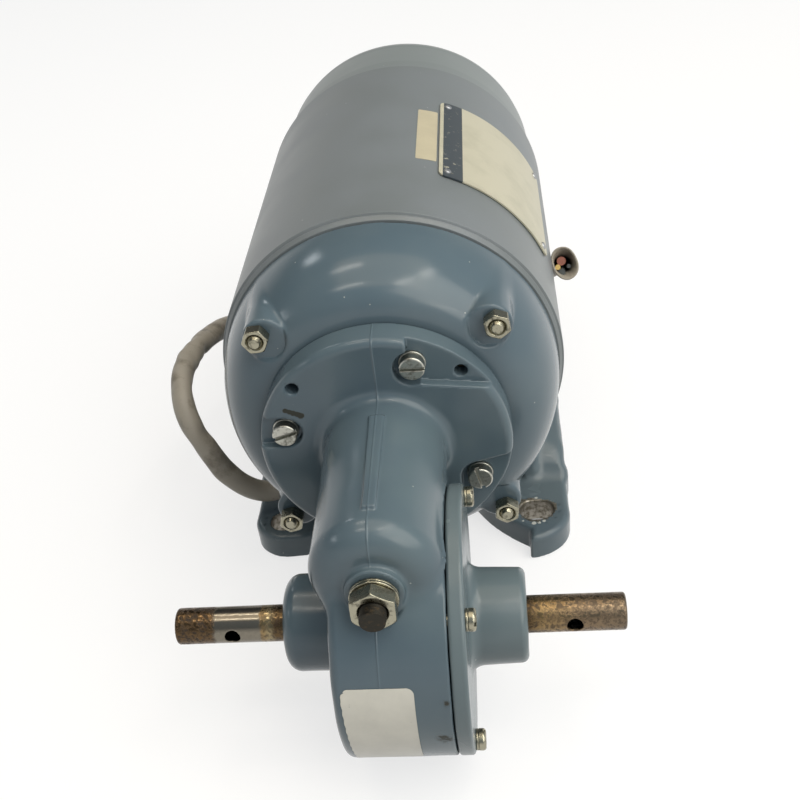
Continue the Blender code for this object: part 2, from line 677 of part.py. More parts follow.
def build_stator():
    """Make the laminated core with its open slots, and the copper winding that fills them."""
    outer = arc((0, 0), TUBE_BORE_RADIUS - GAP, 0, 360 - 360 / LARGE, LARGE - 1)
    inner = []
    for index in range(SLOT_COUNT):
        inner += stator_slot(slot_angle(index))
    core = flat_outline("stator_core", [outer, inner], "Y", CORE_START_Y, CORE_END_Y, LAMINATION)
    start, end = CORE_START_Y - 5, CORE_END_Y + 5
    boolean(core, cylinders("core_tie_holes", tie_places(), TIE_RADIUS + 0.4, start, end, steps=TINY))
    low = CORE_START_Y - GAP
    high = CORE_END_Y + GAP
    inset = 0.4
    top = SLOT_TOP_RADIUS + 0.8
    root = SLOT_ROOT_RADIUS - inset
    bars = bpy.data.meshes.new("winding_bars")
    bm = bmesh.new()
    for index in range(SLOT_COUNT):
        place = Matrix.Rotation(-math.radians(slot_angle(index)), 4, "Y")
        bar = bmesh.ops.create_cube(bm, size=1.0)["verts"]
        for vert in bar:
            outside = vert.co.x > 0
            width = (SLOT_ROOT_WIDTH if outside else SLOT_TOP_WIDTH) - 2 * inset
            depth = math.copysign((high - low) / 2 + 1.0, vert.co.y)
            side = math.copysign(width / 2, vert.co.z)
            local = Vector((root if outside else top, (low + high) / 2 + depth, side)) * MM
            vert.co = place @ local
    bm.to_mesh(bars)
    bm.free()
    bar_cutter = finish_object("winding_bars", bars, None, None, True)
    corner = 4.0
    rings = []
    for start, sign in ((low, -1), (high, 1)):
        end = start + sign * WINDING_OVERHANG
        bend = sign * corner
        ring = [
            (WINDING_INNER_RADIUS, start), (WINDING_OUTER_RADIUS - 1.0, start),
            (WINDING_OUTER_RADIUS, end - bend), (WINDING_OUTER_RADIUS - corner, end),
            (WINDING_INNER_RADIUS + corner, end), (WINDING_INNER_RADIUS, end - bend),
        ]
        rings.append(ring)
    winding = turned("stator_winding", rings[0], look=COPPER, steps=MEDIUM)
    boolean(winding, bar_cutter, "UNION")
    boolean(winding, turned("rear_winding", rings[1], steps=MEDIUM, cutter=True), "UNION")


def cage_bars(name, margin, reach):
    """Make the cage's bars, or with a margin the cutter of the core's slots for them."""
    mesh = bpy.data.meshes.new(name)
    bm = bmesh.new()
    length = CORE_LENGTH + 2 * reach
    for index in range(CAGE_BAR_COUNT):
        turn = Matrix.Rotation(math.tau * index / CAGE_BAR_COUNT, 4, "Y")
        place = Matrix.Translation(Vector((CAGE_BAR_RADIUS, CORE_START_Y + CORE_LENGTH / 2, 0)) * MM)
        size = Vector((CAGE_BAR_DEPTH + 2 * margin, length, CAGE_BAR_WIDTH + 2 * margin)) * MM
        bmesh.ops.create_cube(bm, size=1.0, matrix=turn @ place @ Matrix.Diagonal((*size, 1.0)))
    bm.to_mesh(mesh)
    bm.free()
    return finish_object(name, mesh, None, ROTOR_AXIS, True)


def cage_fins():
    """Make the fan fins that stand on the cage's two end rings."""
    mesh = bpy.data.meshes.new("cage_fins")
    bm = bmesh.new()
    middle = (CAGE_RING_INNER + CAGE_RING_OUTER) / 2
    size = Vector((CAGE_RING_OUTER - CAGE_RING_INNER - 4.0, CAGE_FIN_LENGTH, CAGE_FIN_THICKNESS)) * MM
    stand = CORE_LENGTH / 2 + GAP + CAGE_RING_WIDTH + CAGE_FIN_LENGTH / 2 - 0.5
    for index in range(CAGE_FIN_COUNT):
        turn = Matrix.Rotation(math.tau * (index + 0.5) / CAGE_FIN_COUNT, 4, "Y")
        for side in (-1, 1):
            y = CORE_START_Y + CORE_LENGTH / 2 + side * stand
            place = Matrix.Translation(Vector((middle, y, 0)) * MM)
            bmesh.ops.create_cube(bm, size=1.0, matrix=turn @ place @ Matrix.Diagonal((*size, 1.0)))
    bm.to_mesh(mesh)
    bm.free()
    return finish_object("cage_fins", mesh, None, ROTOR_AXIS, True)


def build_rotor():
    """Make the rotor's core and its cast cage: bars through the core, end rings and fan fins."""
    bore = ROTOR_SEAT_RADIUS + GAP
    core_profile = [
        (bore, CORE_START_Y), (ROTOR_RADIUS, CORE_START_Y), (ROTOR_RADIUS, CORE_END_Y), (bore, CORE_END_Y),
    ]
    core = turned("rotor_core", core_profile, look=LAMINATION, parent=ROTOR_AXIS)
    boolean(core, cage_bars("cage_slots", GAP, 5.0))
    rings = []
    for side, face in ((-1, CORE_START_Y - GAP), (1, CORE_END_Y + GAP)):
        end = face + side * CAGE_RING_WIDTH
        rings.append([(CAGE_RING_INNER, face), (CAGE_RING_OUTER, face), (CAGE_RING_OUTER - 1.0, end),
                      (CAGE_RING_INNER + 1.0, end)])
    cage = turned("rotor_cage", rings[0], look=CAST_ALUMINIUM, parent=ROTOR_AXIS, steps=MEDIUM)
    boolean(cage, cage_bars("cage_bars", 0.0, 3.0), "UNION")
    boolean(cage, turned("rear_cage_ring", rings[1], parent=ROTOR_AXIS, steps=MEDIUM, cutter=True), "UNION")
    boolean(cage, cage_fins(), "UNION")


def worm_thread(name):
    """Make the worm's thread as a closed ribbon wound round the shaft.

    The thread's section is a rack tooth. Its middle crosses the line of centres at the wheel's
    axis, on the side that faces the wheel.
    """
    inner = WORM_ROOT_RADIUS - 0.6
    tip = WORM_OUTER_RADIUS
    slope = math.tan(PRESSURE_ANGLE)
    half_root = WORM_TOOTH_THICKNESS / 2 + (WORM_PITCH_RADIUS - inner) * slope
    half_tip = WORM_TOOTH_THICKNESS / 2 - (tip - WORM_PITCH_RADIUS) * slope
    section = [(inner, -half_root), (tip, -half_tip), (tip, half_tip), (inner, half_root)]
    margin = half_root + 0.4
    first = math.ceil((WORM_FRONT_Y + margin - WHEEL_AXIS_Y) / WORM_LEAD * THREAD_STEPS)
    last = math.floor((WORM_REAR_Y - margin - WHEEL_AXIS_Y) / WORM_LEAD * THREAD_STEPS)
    mesh = bpy.data.meshes.new(name)
    bm = bmesh.new()
    rows = []
    for step in range(first, last + 1):
        turn = math.tau * step / THREAD_STEPS + math.pi
        centre = WHEEL_AXIS_Y + WORM_LEAD * step / THREAD_STEPS
        row = []
        for radius, offset in section:
            point = (radius * math.sin(turn), centre + offset, radius * math.cos(turn))
            row.append(bm.verts.new(Vector(point) * MM))
        rows.append(row)
    count = len(section)
    for row, following in zip(rows, rows[1:]):
        for i in range(count):
            j = (i + 1) % count
            bm.faces.new((row[i], row[j], following[j], following[i]))
    bm.faces.new(rows[0])
    bm.faces.new(rows[-1][::-1])
    bmesh.ops.recalc_face_normals(bm, faces=bm.faces)
    bm.to_mesh(mesh)
    bm.free()
    return finish_object(name, mesh, None, ROTOR_AXIS, True)


def build_worm_shaft():
    """Make the motor shaft in one piece with the worm that is cut on its front end."""
    tip_y = WORM_FRONT_Y - NOSE_JOURNAL_LENGTH
    front_seat_end = FRONT_BEARING_Y + FRONT_BEARING_WIDTH
    rear_seat = REAR_BEARING_Y - GAP
    end_y = REAR_BEARING_Y + REAR_BEARING_WIDTH + 2.5
    profile = [
        (0, tip_y), (NOSE_JOURNAL_RADIUS - 0.5, tip_y), (NOSE_JOURNAL_RADIUS, tip_y + 0.5),
        (NOSE_JOURNAL_RADIUS, WORM_FRONT_Y), (WORM_ROOT_RADIUS, WORM_FRONT_Y),
        (WORM_ROOT_RADIUS, WORM_REAR_Y), (SHAFT_NECK_RADIUS - 1.0, WORM_REAR_Y + 2.0),
        (SHAFT_NECK_RADIUS - 1.0, WORM_REAR_Y + 8.0), (FRONT_JOURNAL_RADIUS, WORM_REAR_Y + 9.5),
        (FRONT_JOURNAL_RADIUS, front_seat_end + GAP), (FRONT_JOURNAL_RADIUS + 1.6, front_seat_end + GAP),
        (FRONT_JOURNAL_RADIUS + 1.6, CORE_START_Y - 12.0), (ROTOR_SEAT_RADIUS, CORE_START_Y - 12.0),
        (ROTOR_SEAT_RADIUS, CORE_END_Y + 12.0), (REAR_JOURNAL_RADIUS + 2.0, CORE_END_Y + 12.0),
        (REAR_JOURNAL_RADIUS + 2.0, rear_seat), (REAR_JOURNAL_RADIUS, rear_seat),
        (REAR_JOURNAL_RADIUS, end_y - 0.6), (REAR_JOURNAL_RADIUS - 0.6, end_y), (0, end_y),
    ]
    shaft = turned("worm_shaft", profile, look=STEEL, parent=ROTOR_AXIS, steps=THREAD_STEPS)
    boolean(shaft, worm_thread("worm_thread"), "UNION")
    return shaft


def race(outer, inner, start, width, groove_radius, groove_side):
    """Outline a bearing ring with a ball groove on its inner or outer side."""
    middle = start + width / 2
    edge = inner if groove_side == "inner" else outer
    sign = 1 if groove_side == "inner" else -1
    half = groove_radius * 0.92
    depth = groove_radius * 0.42
    deep = edge + sign * depth
    groove = [(edge, middle + half), (deep, middle + half * 0.55), (deep, middle - half * 0.55),
              (edge, middle - half)]
    if groove_side == "inner":
        return [(outer, start), (outer, start + width), (inner, start + width)] + groove + [(inner, start)]
    return [(inner, start), (inner, start + width), (outer, start + width)] + groove + [(outer, start)]


def build_ball_bearing(name, start, width, outer, journal, ball_radius, ball_count):
    """Make a deep-groove ball bearing: outer ring, inner ring, balls and cage.

    The groove leaves the balls a running clearance on every side.
    """
    bore = journal + GAP
    pitch = (outer + bore) / 2
    middle = start + width / 2
    groove = ball_radius + 2 * GAP
    turned(name + "_outer_ring", race(outer, pitch + groove * 0.58, start, width, groove, "inner"),
           look=STEEL, steps=MEDIUM)
    turned(name + "_inner_ring", race(pitch - groove * 0.58, bore, start, width, groove, "outer"),
           look=STEEL, parent=ROTOR_AXIS, steps=MEDIUM)
    mesh = bpy.data.meshes.new(name + "_ball_set")
    bm = bmesh.new()
    for index in range(ball_count):
        x, z = polar(pitch, 360.0 * index / ball_count)
        place = Matrix.Translation(Vector((x, middle, z)) * MM)
        bmesh.ops.create_icosphere(bm, subdivisions=1, radius=ball_radius * MM, matrix=place)
    bm.to_mesh(mesh)
    bm.free()
    balls = finish_object(name + "_ball_set", mesh, None, ROTOR_AXIS, True)
    half = ball_radius * 0.3
    width = ball_radius * 0.8
    cage = [(pitch - half, middle - width), (pitch + half, middle - width), (pitch + half, middle + width),
            (pitch - half, middle + width)]
    boolean(turned(name + "_balls", cage, look=BRONZE, parent=ROTOR_AXIS, steps=SMALL), balls, "UNION")


def ring(name, inner, outer, start, end, axis="Y", at=(0, 0, 0), look=None, parent=None, steps=MEDIUM):
    """Make a plain ring, such as a bush, seal or washer."""
    profile = [(inner, start), (outer, start), (outer, end), (inner, end)]
    return turned(name, profile, axis, at, look, parent, steps)


def build_wave_washer():
    """Make the spring washer that loads the rear bearing."""
    start = REAR_BEARING_Y + REAR_BEARING_WIDTH + GAP
    inner = REAR_BEARING_OUTER - 3.0
    ring("wave_washer", inner, REAR_BEARING_OUTER - 0.4, start, start + WAVE_WASHER_THICKNESS, look=ZINC)


def wheel_place():
    """Give the wheel axis in the motor frame."""
    return 0.0, WHEEL_AXIS_Y, WHEEL_AXIS_Z


def housing_blank():
    """Outline the flange, worm tube, nose and collar, turned about the motor axis."""
    edge = FLANGE_EDGE_RADIUS
    rim_centre = (FLANGE_RADIUS - edge, FLANGE_FRONT_Y + edge)
    rim = arc(rim_centre, edge, 0, -90, 2)
    fillet_centre = (WORM_TUBE_RADIUS + WORM_TUBE_FILLET, FLANGE_FRONT_Y - WORM_TUBE_FILLET)
    fillet = arc(fillet_centre, WORM_TUBE_FILLET, 90, 180, 2)
    nose_centre = (WORM_TUBE_RADIUS - NOSE_CORNER, NOSE_END_Y + NOSE_CORNER)
    nose = arc(nose_centre, NOSE_CORNER, 0, -90, 4)
    collar_end = NOSE_END_Y - NOSE_COLLAR_HEIGHT
    profile = [(0, SHIELD_FACE_Y + SHIELD_WALL - 1.0), (REGISTER_RADIUS, SHIELD_FACE_Y + SHIELD_WALL - 1.0)]
    profile += [(REGISTER_RADIUS, FLANGE_REAR_Y), (FLANGE_RADIUS - 0.8, FLANGE_REAR_Y)]
    profile += [(FLANGE_RADIUS, FLANGE_REAR_Y - 0.8)] + rim + fillet
    profile += [(WORM_TUBE_WAIST, (FLANGE_FRONT_Y + NOSE_END_Y) / 2 - 5.0)] + nose
    profile += [(NOSE_COLLAR_RADIUS + 0.8, NOSE_END_Y), (NOSE_COLLAR_RADIUS, NOSE_END_Y - 0.6)]
    profile += [(NOSE_COLLAR_RADIUS, collar_end), (0, collar_end)]
    return profile


def drum_blank():
    """Outline the wheel drum and the left boss, before the drum is cut off at its joint face."""
    wall = DRUM_LEFT_X
    corner = arc((DRUM_RADIUS - DRUM_CORNER, wall + DRUM_CORNER), DRUM_CORNER, 0, -90, 2)
    boss_root = LEFT_BOSS_RADIUS + 2.0
    boss_end = arc((LEFT_BOSS_RADIUS - BOSS_CORNER, LEFT_BOSS_END_X + BOSS_CORNER), BOSS_CORNER, 0, -90, 3)
    open_side = JOINT_X + 3.0
    profile = [(0, open_side), (DRUM_RADIUS, open_side)] + corner
    profile += [(boss_root, wall), (boss_root - 1.6, wall - 0.5)]
    profile += [(LEFT_BOSS_RADIUS + 0.2, wall - 2.2)] + boss_end + [(0, LEFT_BOSS_END_X)]
    return profile


def flange_pockets():
    """Make the cutters of the open pockets in which the flange screws stand."""
    front = FLANGE_FRONT_Y - 3.0
    reach = FLANGE_RADIUS + 3.0
    radius = FLANGE_HEAD_RADIUS + POCKET_CLEARANCE
    places = [screw_place(angle) for angle in FLANGE_SCREW_ANGLES]
    cutters = [cylinders("screw_pockets", places, radius, front, POCKET_FLOOR_Y)]
    left, _, left_z = places[0]
    top, _, top_z = places[1]
    right, _, right_z = places[2]
    low, _, low_z = places[3]
    side = radius - 0.3
    areas = {
        "left_pocket": ((-reach, left_z - side), (left, left_z + side)),
        "top_pocket": ((top - side, top_z - side), (reach, reach)),
        "right_pocket": ((right - side, -reach), (reach, right_z + side)),
        "low_pocket": ((low - side, -reach), (low + side, low_z)),
    }
    for name, ((x0, z0), (x1, z1)) in areas.items():
        cutters.append(box(name, (x0, front - 0.1, z0), (x1, POCKET_FLOOR_Y, z1)))
    return cutters


def build_gearbox_housing():
    """Make the gearbox casting: flange, worm tube, wheel drum, left boss and all its bores."""
    housing = turned("gearbox_housing", housing_blank(), look=ENAMEL, steps=CASTING)
    rib = cylinders(
        "rib_bar", [(0, 0, 0)], WORM_TUBE_RADIUS + RIB_HEIGHT, RIB_END_Y, RIB_START_Y, steps=CASTING,
    )
    rib_side = box(
        "rib_width", (-RIB_WIDTH / 2, RIB_END_Y, WORM_BORE_RADIUS), (RIB_WIDTH / 2, RIB_START_Y, DRUM_RADIUS),
    )
    boolean(rib, rib_side, "INTERSECT")
    boolean(housing, rib, "UNION")
    drum = turned("drum_blank", drum_blank(), "X", wheel_place(), cutter=True, steps=CASTING)
    boolean(housing, drum, "UNION")
    for pocket in flange_pockets():
        boolean(housing, pocket)
    seat = JOINT_X - GAP / 2
    trim_radius = DRUM_RADIUS + 2 * GAP
    past = seat + DRUM_RADIUS
    trim = cylinders("cover_trim", [wheel_place()], trim_radius, seat, past, "X", steps=CASTING)
    boolean(housing, trim)
    bottom = CAVITY_LEFT_X
    cavity = cylinders("wheel_cavity", [wheel_place()], CAVITY_RADIUS, bottom, past, "X", steps=CASTING)
    boolean(housing, cavity)
    spotface = NOSE_END_Y - NOSE_COLLAR_HEIGHT
    front = WHEEL_AXIS_Y - DRUM_RADIUS - WORM_TUBE_RADIUS
    flat = cylinders("nut_spotface", [(0, 0, 0)], NUT_SPOTFACE_RADIUS, front, spotface, steps=MEDIUM)
    boolean(housing, flat)
    boolean(housing, worm_bore())
    boolean(housing, boss_bore())
    holes = [screw_place(angle) for angle in FLANGE_SCREW_ANGLES]
    boolean(housing, cylinders("flange_holes", holes, FLANGE_SHANK_RADIUS + GAP, -20, 9, steps=TINY))
    pins = [pin_place(angle) for angle in PIN_ANGLES]
    boolean(housing, cylinders("flange_pin_holes", pins, PIN_RADIUS + GAP, -20, 9, steps=TINY))
    threads = [cover_screw_place(index) for index in range(COVER_SCREW_COUNT)]
    depth = seat - COVER_SHANK_LENGTH
    radius = COVER_SHANK_RADIUS + GAP
    boolean(housing, cylinders("cover_threads", threads, radius, depth, seat + 1, "X", steps=TINY))
    return housing


def worm_bore():
    """Make the cutter of the worm chamber, the nose bush seat and the stud's thread."""
    seat = NOSE_BUSH_RADIUS + GAP
    bush_rear = WORM_FRONT_Y - GAP
    bush_front = bush_rear - NOSE_BUSH_LENGTH - GAP
    profile = [
        (0, 20), (WORM_BORE_RADIUS, 20), (WORM_BORE_RADIUS, bush_rear + 2.0), (seat, bush_rear),
        (seat, bush_front), (STUD_RADIUS + GAP, bush_front), (STUD_RADIUS + GAP, NOSE_END_Y - 9),
        (0, NOSE_END_Y - 9),
    ]
    return turned("worm_bore", profile, steps=MEDIUM, cutter=True)


def boss_bore():
    """Make the cutter of the left boss: its bush seat and its seal seat."""
    seal = SEAL_OUTER_RADIUS + GAP
    bush = BUSH_OUTER_RADIUS + GAP
    seal_floor = LEFT_BOSS_END_X + SEAL_WIDTH + 2 * GAP
    profile = [
        (0, CAVITY_LEFT_X + 1), (bush, CAVITY_LEFT_X + 1), (bush, seal_floor), (seal, seal_floor),
        (seal, LEFT_BOSS_END_X - 5), (0, LEFT_BOSS_END_X - 5),
    ]
    return turned("boss_bore", profile, "X", wheel_place(), steps=MEDIUM, cutter=True)


def cover_screw_place(index):
    """Give a cover screw's centre, on a circle round the output axis."""
    y, z = polar(COVER_SCREW_CIRCLE, 360.0 / COVER_SCREW_COUNT * (index + 0.5))
    return 0.0, WHEEL_AXIS_Y + y, WHEEL_AXIS_Z + z


def build_gearbox_cover():
    """Make the gearbox cover: round plate, register, right boss, bush seat and seal seat."""
    inside = JOINT_X + GAP / 2
    register = inside - COVER_REGISTER
    bush = BUSH_OUTER_RADIUS + GAP
    seal = SEAL_OUTER_RADIUS + GAP
    root = RIGHT_BOSS_RADIUS + RIGHT_BOSS_TAPER
    seal_floor = RIGHT_BOSS_END_X - SEAL_WIDTH - 2 * GAP
    corner = 2.0
    end = arc((RIGHT_BOSS_RADIUS - corner, RIGHT_BOSS_END_X - corner), corner, 0, 90, 2)
    fillet = arc((root + 3.0, COVER_FACE_X + 3.0), 3.0, 270, 180, 2)
    profile = [(bush, register), (CAVITY_RADIUS - GAP, register), (CAVITY_RADIUS - GAP, inside)]
    profile += [(DRUM_RADIUS, inside), (DRUM_RADIUS, COVER_FACE_X - 1.0), (DRUM_RADIUS - 1.0, COVER_FACE_X)]
    profile += fillet + end + [(seal, RIGHT_BOSS_END_X), (seal, seal_floor), (bush, seal_floor)]
    cover = turned("gearbox_cover", profile, "X", wheel_place(), ENAMEL, steps=CASTING)
    places = [cover_screw_place(index) for index in range(COVER_SCREW_COUNT)]
    radius = COVER_SHANK_RADIUS + 0.4
    holes = cylinders("cover_holes", places, radius, inside - 5, COVER_FACE_X + 9, "X", steps=TINY)
    boolean(cover, holes)
    return cover


def slotted_screw(name, head, shank, axis, turn, washer=(0.0, 0.0)):
    """Make a slotted cheese-head screw whose head rests at the origin, with its shank along the axis.

    Head, shank and captive washer are each given as (radius, length). Turn is the slot's angle.
    """
    head_radius, head_height = head
    shank_radius, shank_length = shank
    washer_radius, washer_height = washer
    profile = [
        (0, -head_height), (head_radius, -head_height), (head_radius, 0), (washer_radius, 0),
        (washer_radius, washer_height), (shank_radius, washer_height), (shank_radius, shank_length),
        (0, shank_length),
    ]
    if not washer_height:
        profile = profile[:3] + profile[5:]
    screw = turned(name, profile, axis, steps=10)
    reach = head_radius + 1.0
    slot = box(name + "_slot", (-reach, -SLOT_WIDTH / 2, -head_height - 1), (reach, SLOT_WIDTH / 2,
                                                                            SLOT_DEPTH - head_height))
    slot.matrix_local = ALONG[axis] @ Matrix.Rotation(math.radians(turn), 4, "Z")
    boolean(screw, slot)
    return screw


def build_fasteners():
    """Make the flange screws, the locating pins, and the cover screws with their captive washers."""
    length = SHIELD_FACE_Y + SHIELD_WALL - POCKET_FLOOR_Y
    head = (FLANGE_HEAD_RADIUS, FLANGE_HEAD_HEIGHT)
    screw = slotted_screw("flange_screw_blank", head, (FLANGE_SHANK_RADIUS, length), "Y", 8.0)
    places = []
    for angle in FLANGE_SCREW_ANGLES:
        x, _, z = screw_place(angle)
        spin = Matrix.Rotation(math.radians(angle * 0.9), 4, "Y")
        places.append(Matrix.Translation(Vector((x, POCKET_FLOOR_Y - GAP, z)) * MM) @ spin)
    repeated(screw, "flange_screw", places, ZINC)
    start = FLANGE_REAR_Y - PIN_LENGTH / 2
    pin = ring("pin_blank", PIN_RADIUS - 0.8, PIN_RADIUS, start, start + PIN_LENGTH, steps=TINY)
    pins = [Matrix.Translation(Vector(pin_place(angle)) * MM) for angle in PIN_ANGLES]
    repeated(pin, "locating_pin", pins, DARK_STEEL)
    seat = COVER_FACE_X + GAP
    shank = (COVER_SHANK_RADIUS, seat + SPRING_WASHER_HEIGHT - JOINT_X + COVER_SHANK_LENGTH - 1.0)
    washer = (COVER_HEAD_RADIUS - 0.3, SPRING_WASHER_HEIGHT)
    head = (COVER_HEAD_RADIUS, COVER_HEAD_HEIGHT)
    bolt = slotted_screw("cover_screw_blank", head, shank, "X", 35.0, washer)
    about = Matrix.Rotation(math.pi, 4, "Z")
    places = []
    for index in range(COVER_SCREW_COUNT):
        _, y, z = cover_screw_place(index)
        places.append(Matrix.Translation(Vector((seat + SPRING_WASHER_HEIGHT, y, z)) * MM) @ about)
    repeated(bolt, "cover_screw", places, ZINC)


def build_worm_end():
    """Make the worm's front bush, thrust ball and the adjusting stud with its washer and nut."""
    bush_rear = WORM_FRONT_Y - GAP
    bush_front = bush_rear - NOSE_BUSH_LENGTH
    bore = NOSE_JOURNAL_RADIUS + GAP
    ring("worm_bush", bore, NOSE_BUSH_RADIUS, bush_front, bush_rear, look=BRONZE, steps=SMALL)
    ball_y = WORM_FRONT_Y - NOSE_JOURNAL_LENGTH - GAP - THRUST_BALL_RADIUS
    mesh = bpy.data.meshes.new("thrust_ball")
    bm = bmesh.new()
    place = Matrix.Translation(Vector((0, ball_y, 0)) * MM)
    bmesh.ops.create_uvsphere(bm, u_segments=8, v_segments=6, radius=THRUST_BALL_RADIUS * MM, matrix=place)
    bm.to_mesh(mesh)
    bm.free()
    mesh.shade_smooth()
    finish_object("thrust_ball", mesh, ZINC, None, False)
    stud_start = ball_y - THRUST_BALL_RADIUS - GAP
    stud = [(0, stud_start), (STUD_RADIUS, stud_start), (STUD_RADIUS, STUD_END_Y + 0.8),
            (STUD_RADIUS - 0.8, STUD_END_Y), (0, STUD_END_Y)]
    turned("thrust_stud", stud, look=DARK_STEEL, steps=SMALL)
    washer_rear = NOSE_END_Y - NOSE_COLLAR_HEIGHT - GAP
    washer_front = washer_rear - LOCK_WASHER_HEIGHT
    hole = STUD_RADIUS + GAP
    ring("lock_washer", hole, LOCK_WASHER_RADIUS, washer_front, washer_rear, look=ZINC, steps=SMALL)
    nut_rear = washer_front - GAP
    nut = hexagon_nut("lock_nut", LOCK_NUT_FLATS, STUD_RADIUS + GAP, nut_rear - LOCK_NUT_HEIGHT, nut_rear)
    nut.data.materials.append(ZINC)
    ring("worm_seal", FRONT_JOURNAL_RADIUS + GAP, WORM_BORE_RADIUS - GAP, WORM_SEAL_Y,
         WORM_SEAL_Y + WORM_SEAL_WIDTH, look=BLACK_RUBBER)


def wheel_tooth(index):
    """List one wheel tooth's outline from root to root, with involute flanks.

    The outline is in the plane square to the output axis, as angles from straight up and radii. The
    gap between two teeth stands straight up, where the worm's thread is.
    """
    base = WHEEL_PITCH_RADIUS * math.cos(PRESSURE_ANGLE)
    pitch_half = WHEEL_TOOTH_THICKNESS / 2 / WHEEL_PITCH_RADIUS

    def involute(radius):
        if radius <= base:
            return 0.0
        roll = math.acos(base / radius)
        return math.tan(roll) - roll

    middle = math.tau * (index + 0.5) / WHEEL_TEETH
    radii = [WHEEL_ROOT_RADIUS, WHEEL_OUTER_RADIUS]
    halves = [pitch_half + involute(WHEEL_PITCH_RADIUS) - involute(radius) for radius in radii]
    rising = [(radius, middle - half) for radius, half in zip(radii, halves)]
    falling = [(radius, middle + half) for radius, half in zip(radii, halves)]
    return rising + falling[::-1]


def build_worm_wheel():
    """Make the worm wheel: toothed rim twisted to the worm's lead, web, hub and bore."""
    lead_angle = math.atan(WORM_LEAD / (math.tau * WORM_PITCH_RADIUS))
    outline = []
    for index in range(WHEEL_TEETH):
        outline += wheel_tooth(index)
    mesh = bpy.data.meshes.new("worm_wheel")
    bm = bmesh.new()
    rows = []
    for x in (-WHEEL_FACE_WIDTH / 2, WHEEL_FACE_WIDTH / 2):
        twist = x * math.tan(lead_angle) / WHEEL_PITCH_RADIUS
        row = []
        for radius, angle in outline:
            turn = angle + twist
            point = (x, -radius * math.sin(turn), radius * math.cos(turn))
            row.append(bm.verts.new(Vector(point) * MM))
        rows.append(row)
    count = len(outline)
    for i in range(count):
        j = (i + 1) % count
        bm.faces.new((rows[0][i], rows[0][j], rows[1][j], rows[1][i]))
    bm.faces.new(rows[0][::-1])
    bm.faces.new(rows[1])
    bmesh.ops.recalc_face_normals(bm, faces=bm.faces)
    bm.to_mesh(mesh)
    bm.free()
    wheel = finish_object("worm_wheel", mesh, BRONZE, OUTPUT_AXIS, False)
    rim = WHEEL_ROOT_RADIUS - WHEEL_RIM_DEPTH
    half = WHEEL_FACE_WIDTH / 2
    for side in (-1, 1):
        floor, mouth = side * (half - WHEEL_WEB_RECESS), side * (half + 2)
        recess = [(WHEEL_HUB_RADIUS, floor), (rim, floor), (rim, mouth), (WHEEL_HUB_RADIUS, mouth)]
        name = "left_recess" if side < 0 else "right_recess"
        boolean(wheel, turned(name, recess, "X", parent=OUTPUT_AXIS, steps=MEDIUM, cutter=True))
    hub = cylinders("wheel_hub", [(0, 0, 0)], WHEEL_HUB_RADIUS - 0.2, WHEEL_HUB_LEFT, WHEEL_HUB_RIGHT, "X",
                    parent=OUTPUT_AXIS, steps=MEDIUM)
    boolean(wheel, hub, "UNION")
    start, end = WHEEL_HUB_LEFT - 9, WHEEL_HUB_RIGHT + 9
    bore = cylinders("wheel_bore", [(0, 0, 0)], OUTPUT_RADIUS + GAP, start, end, "X",
                     parent=OUTPUT_AXIS, steps=MEDIUM)
    boolean(wheel, bore)
    boolean(wheel, wheel_pin_hole("wheel_pin_hole"))
    return wheel


def wheel_pin_hole(name):
    """Make the cutter of the cross hole that the wheel's pin fills."""
    return cylinders(name, [(WHEEL_PIN_X, 0, 0)], WHEEL_PIN_RADIUS + GAP, -30, 30, "Z", parent=OUTPUT_AXIS,
                     steps=TINY)


def build_output_shaft():
    """Make the through output shaft with its two cross holes, and the pin that holds the wheel."""
    length_profile = [
        (0, OUTPUT_LEFT_X), (OUTPUT_RADIUS - OUTPUT_CHAMFER, OUTPUT_LEFT_X),
        (OUTPUT_RADIUS, OUTPUT_LEFT_X + OUTPUT_CHAMFER), (OUTPUT_RADIUS, OUTPUT_RIGHT_X - OUTPUT_CHAMFER),
        (OUTPUT_RADIUS - OUTPUT_CHAMFER, OUTPUT_RIGHT_X), (0, OUTPUT_RIGHT_X),
    ]
    shaft = turned("output_shaft", length_profile, "X", look=STEEL, parent=OUTPUT_AXIS, steps=MEDIUM)
    places = [(LEFT_CROSS_HOLE_X, 0, 0), (RIGHT_CROSS_HOLE_X, 0, 0)]
    reach = 2 * OUTPUT_RADIUS
    holes = cylinders("cross_holes", places, CROSS_HOLE_RADIUS, -reach, reach, "Y",
                      parent=OUTPUT_AXIS, steps=SMALL)
    boolean(shaft, holes)
    boolean(shaft, wheel_pin_hole("shaft_pin_hole"))
    reach = WHEEL_HUB_RADIUS - 0.6
    cylinders("wheel_pin", [(WHEEL_PIN_X, 0, 0)], WHEEL_PIN_RADIUS, -reach, reach, "Z", parent=OUTPUT_AXIS,
              look=ZINC, cutter=False, steps=TINY)


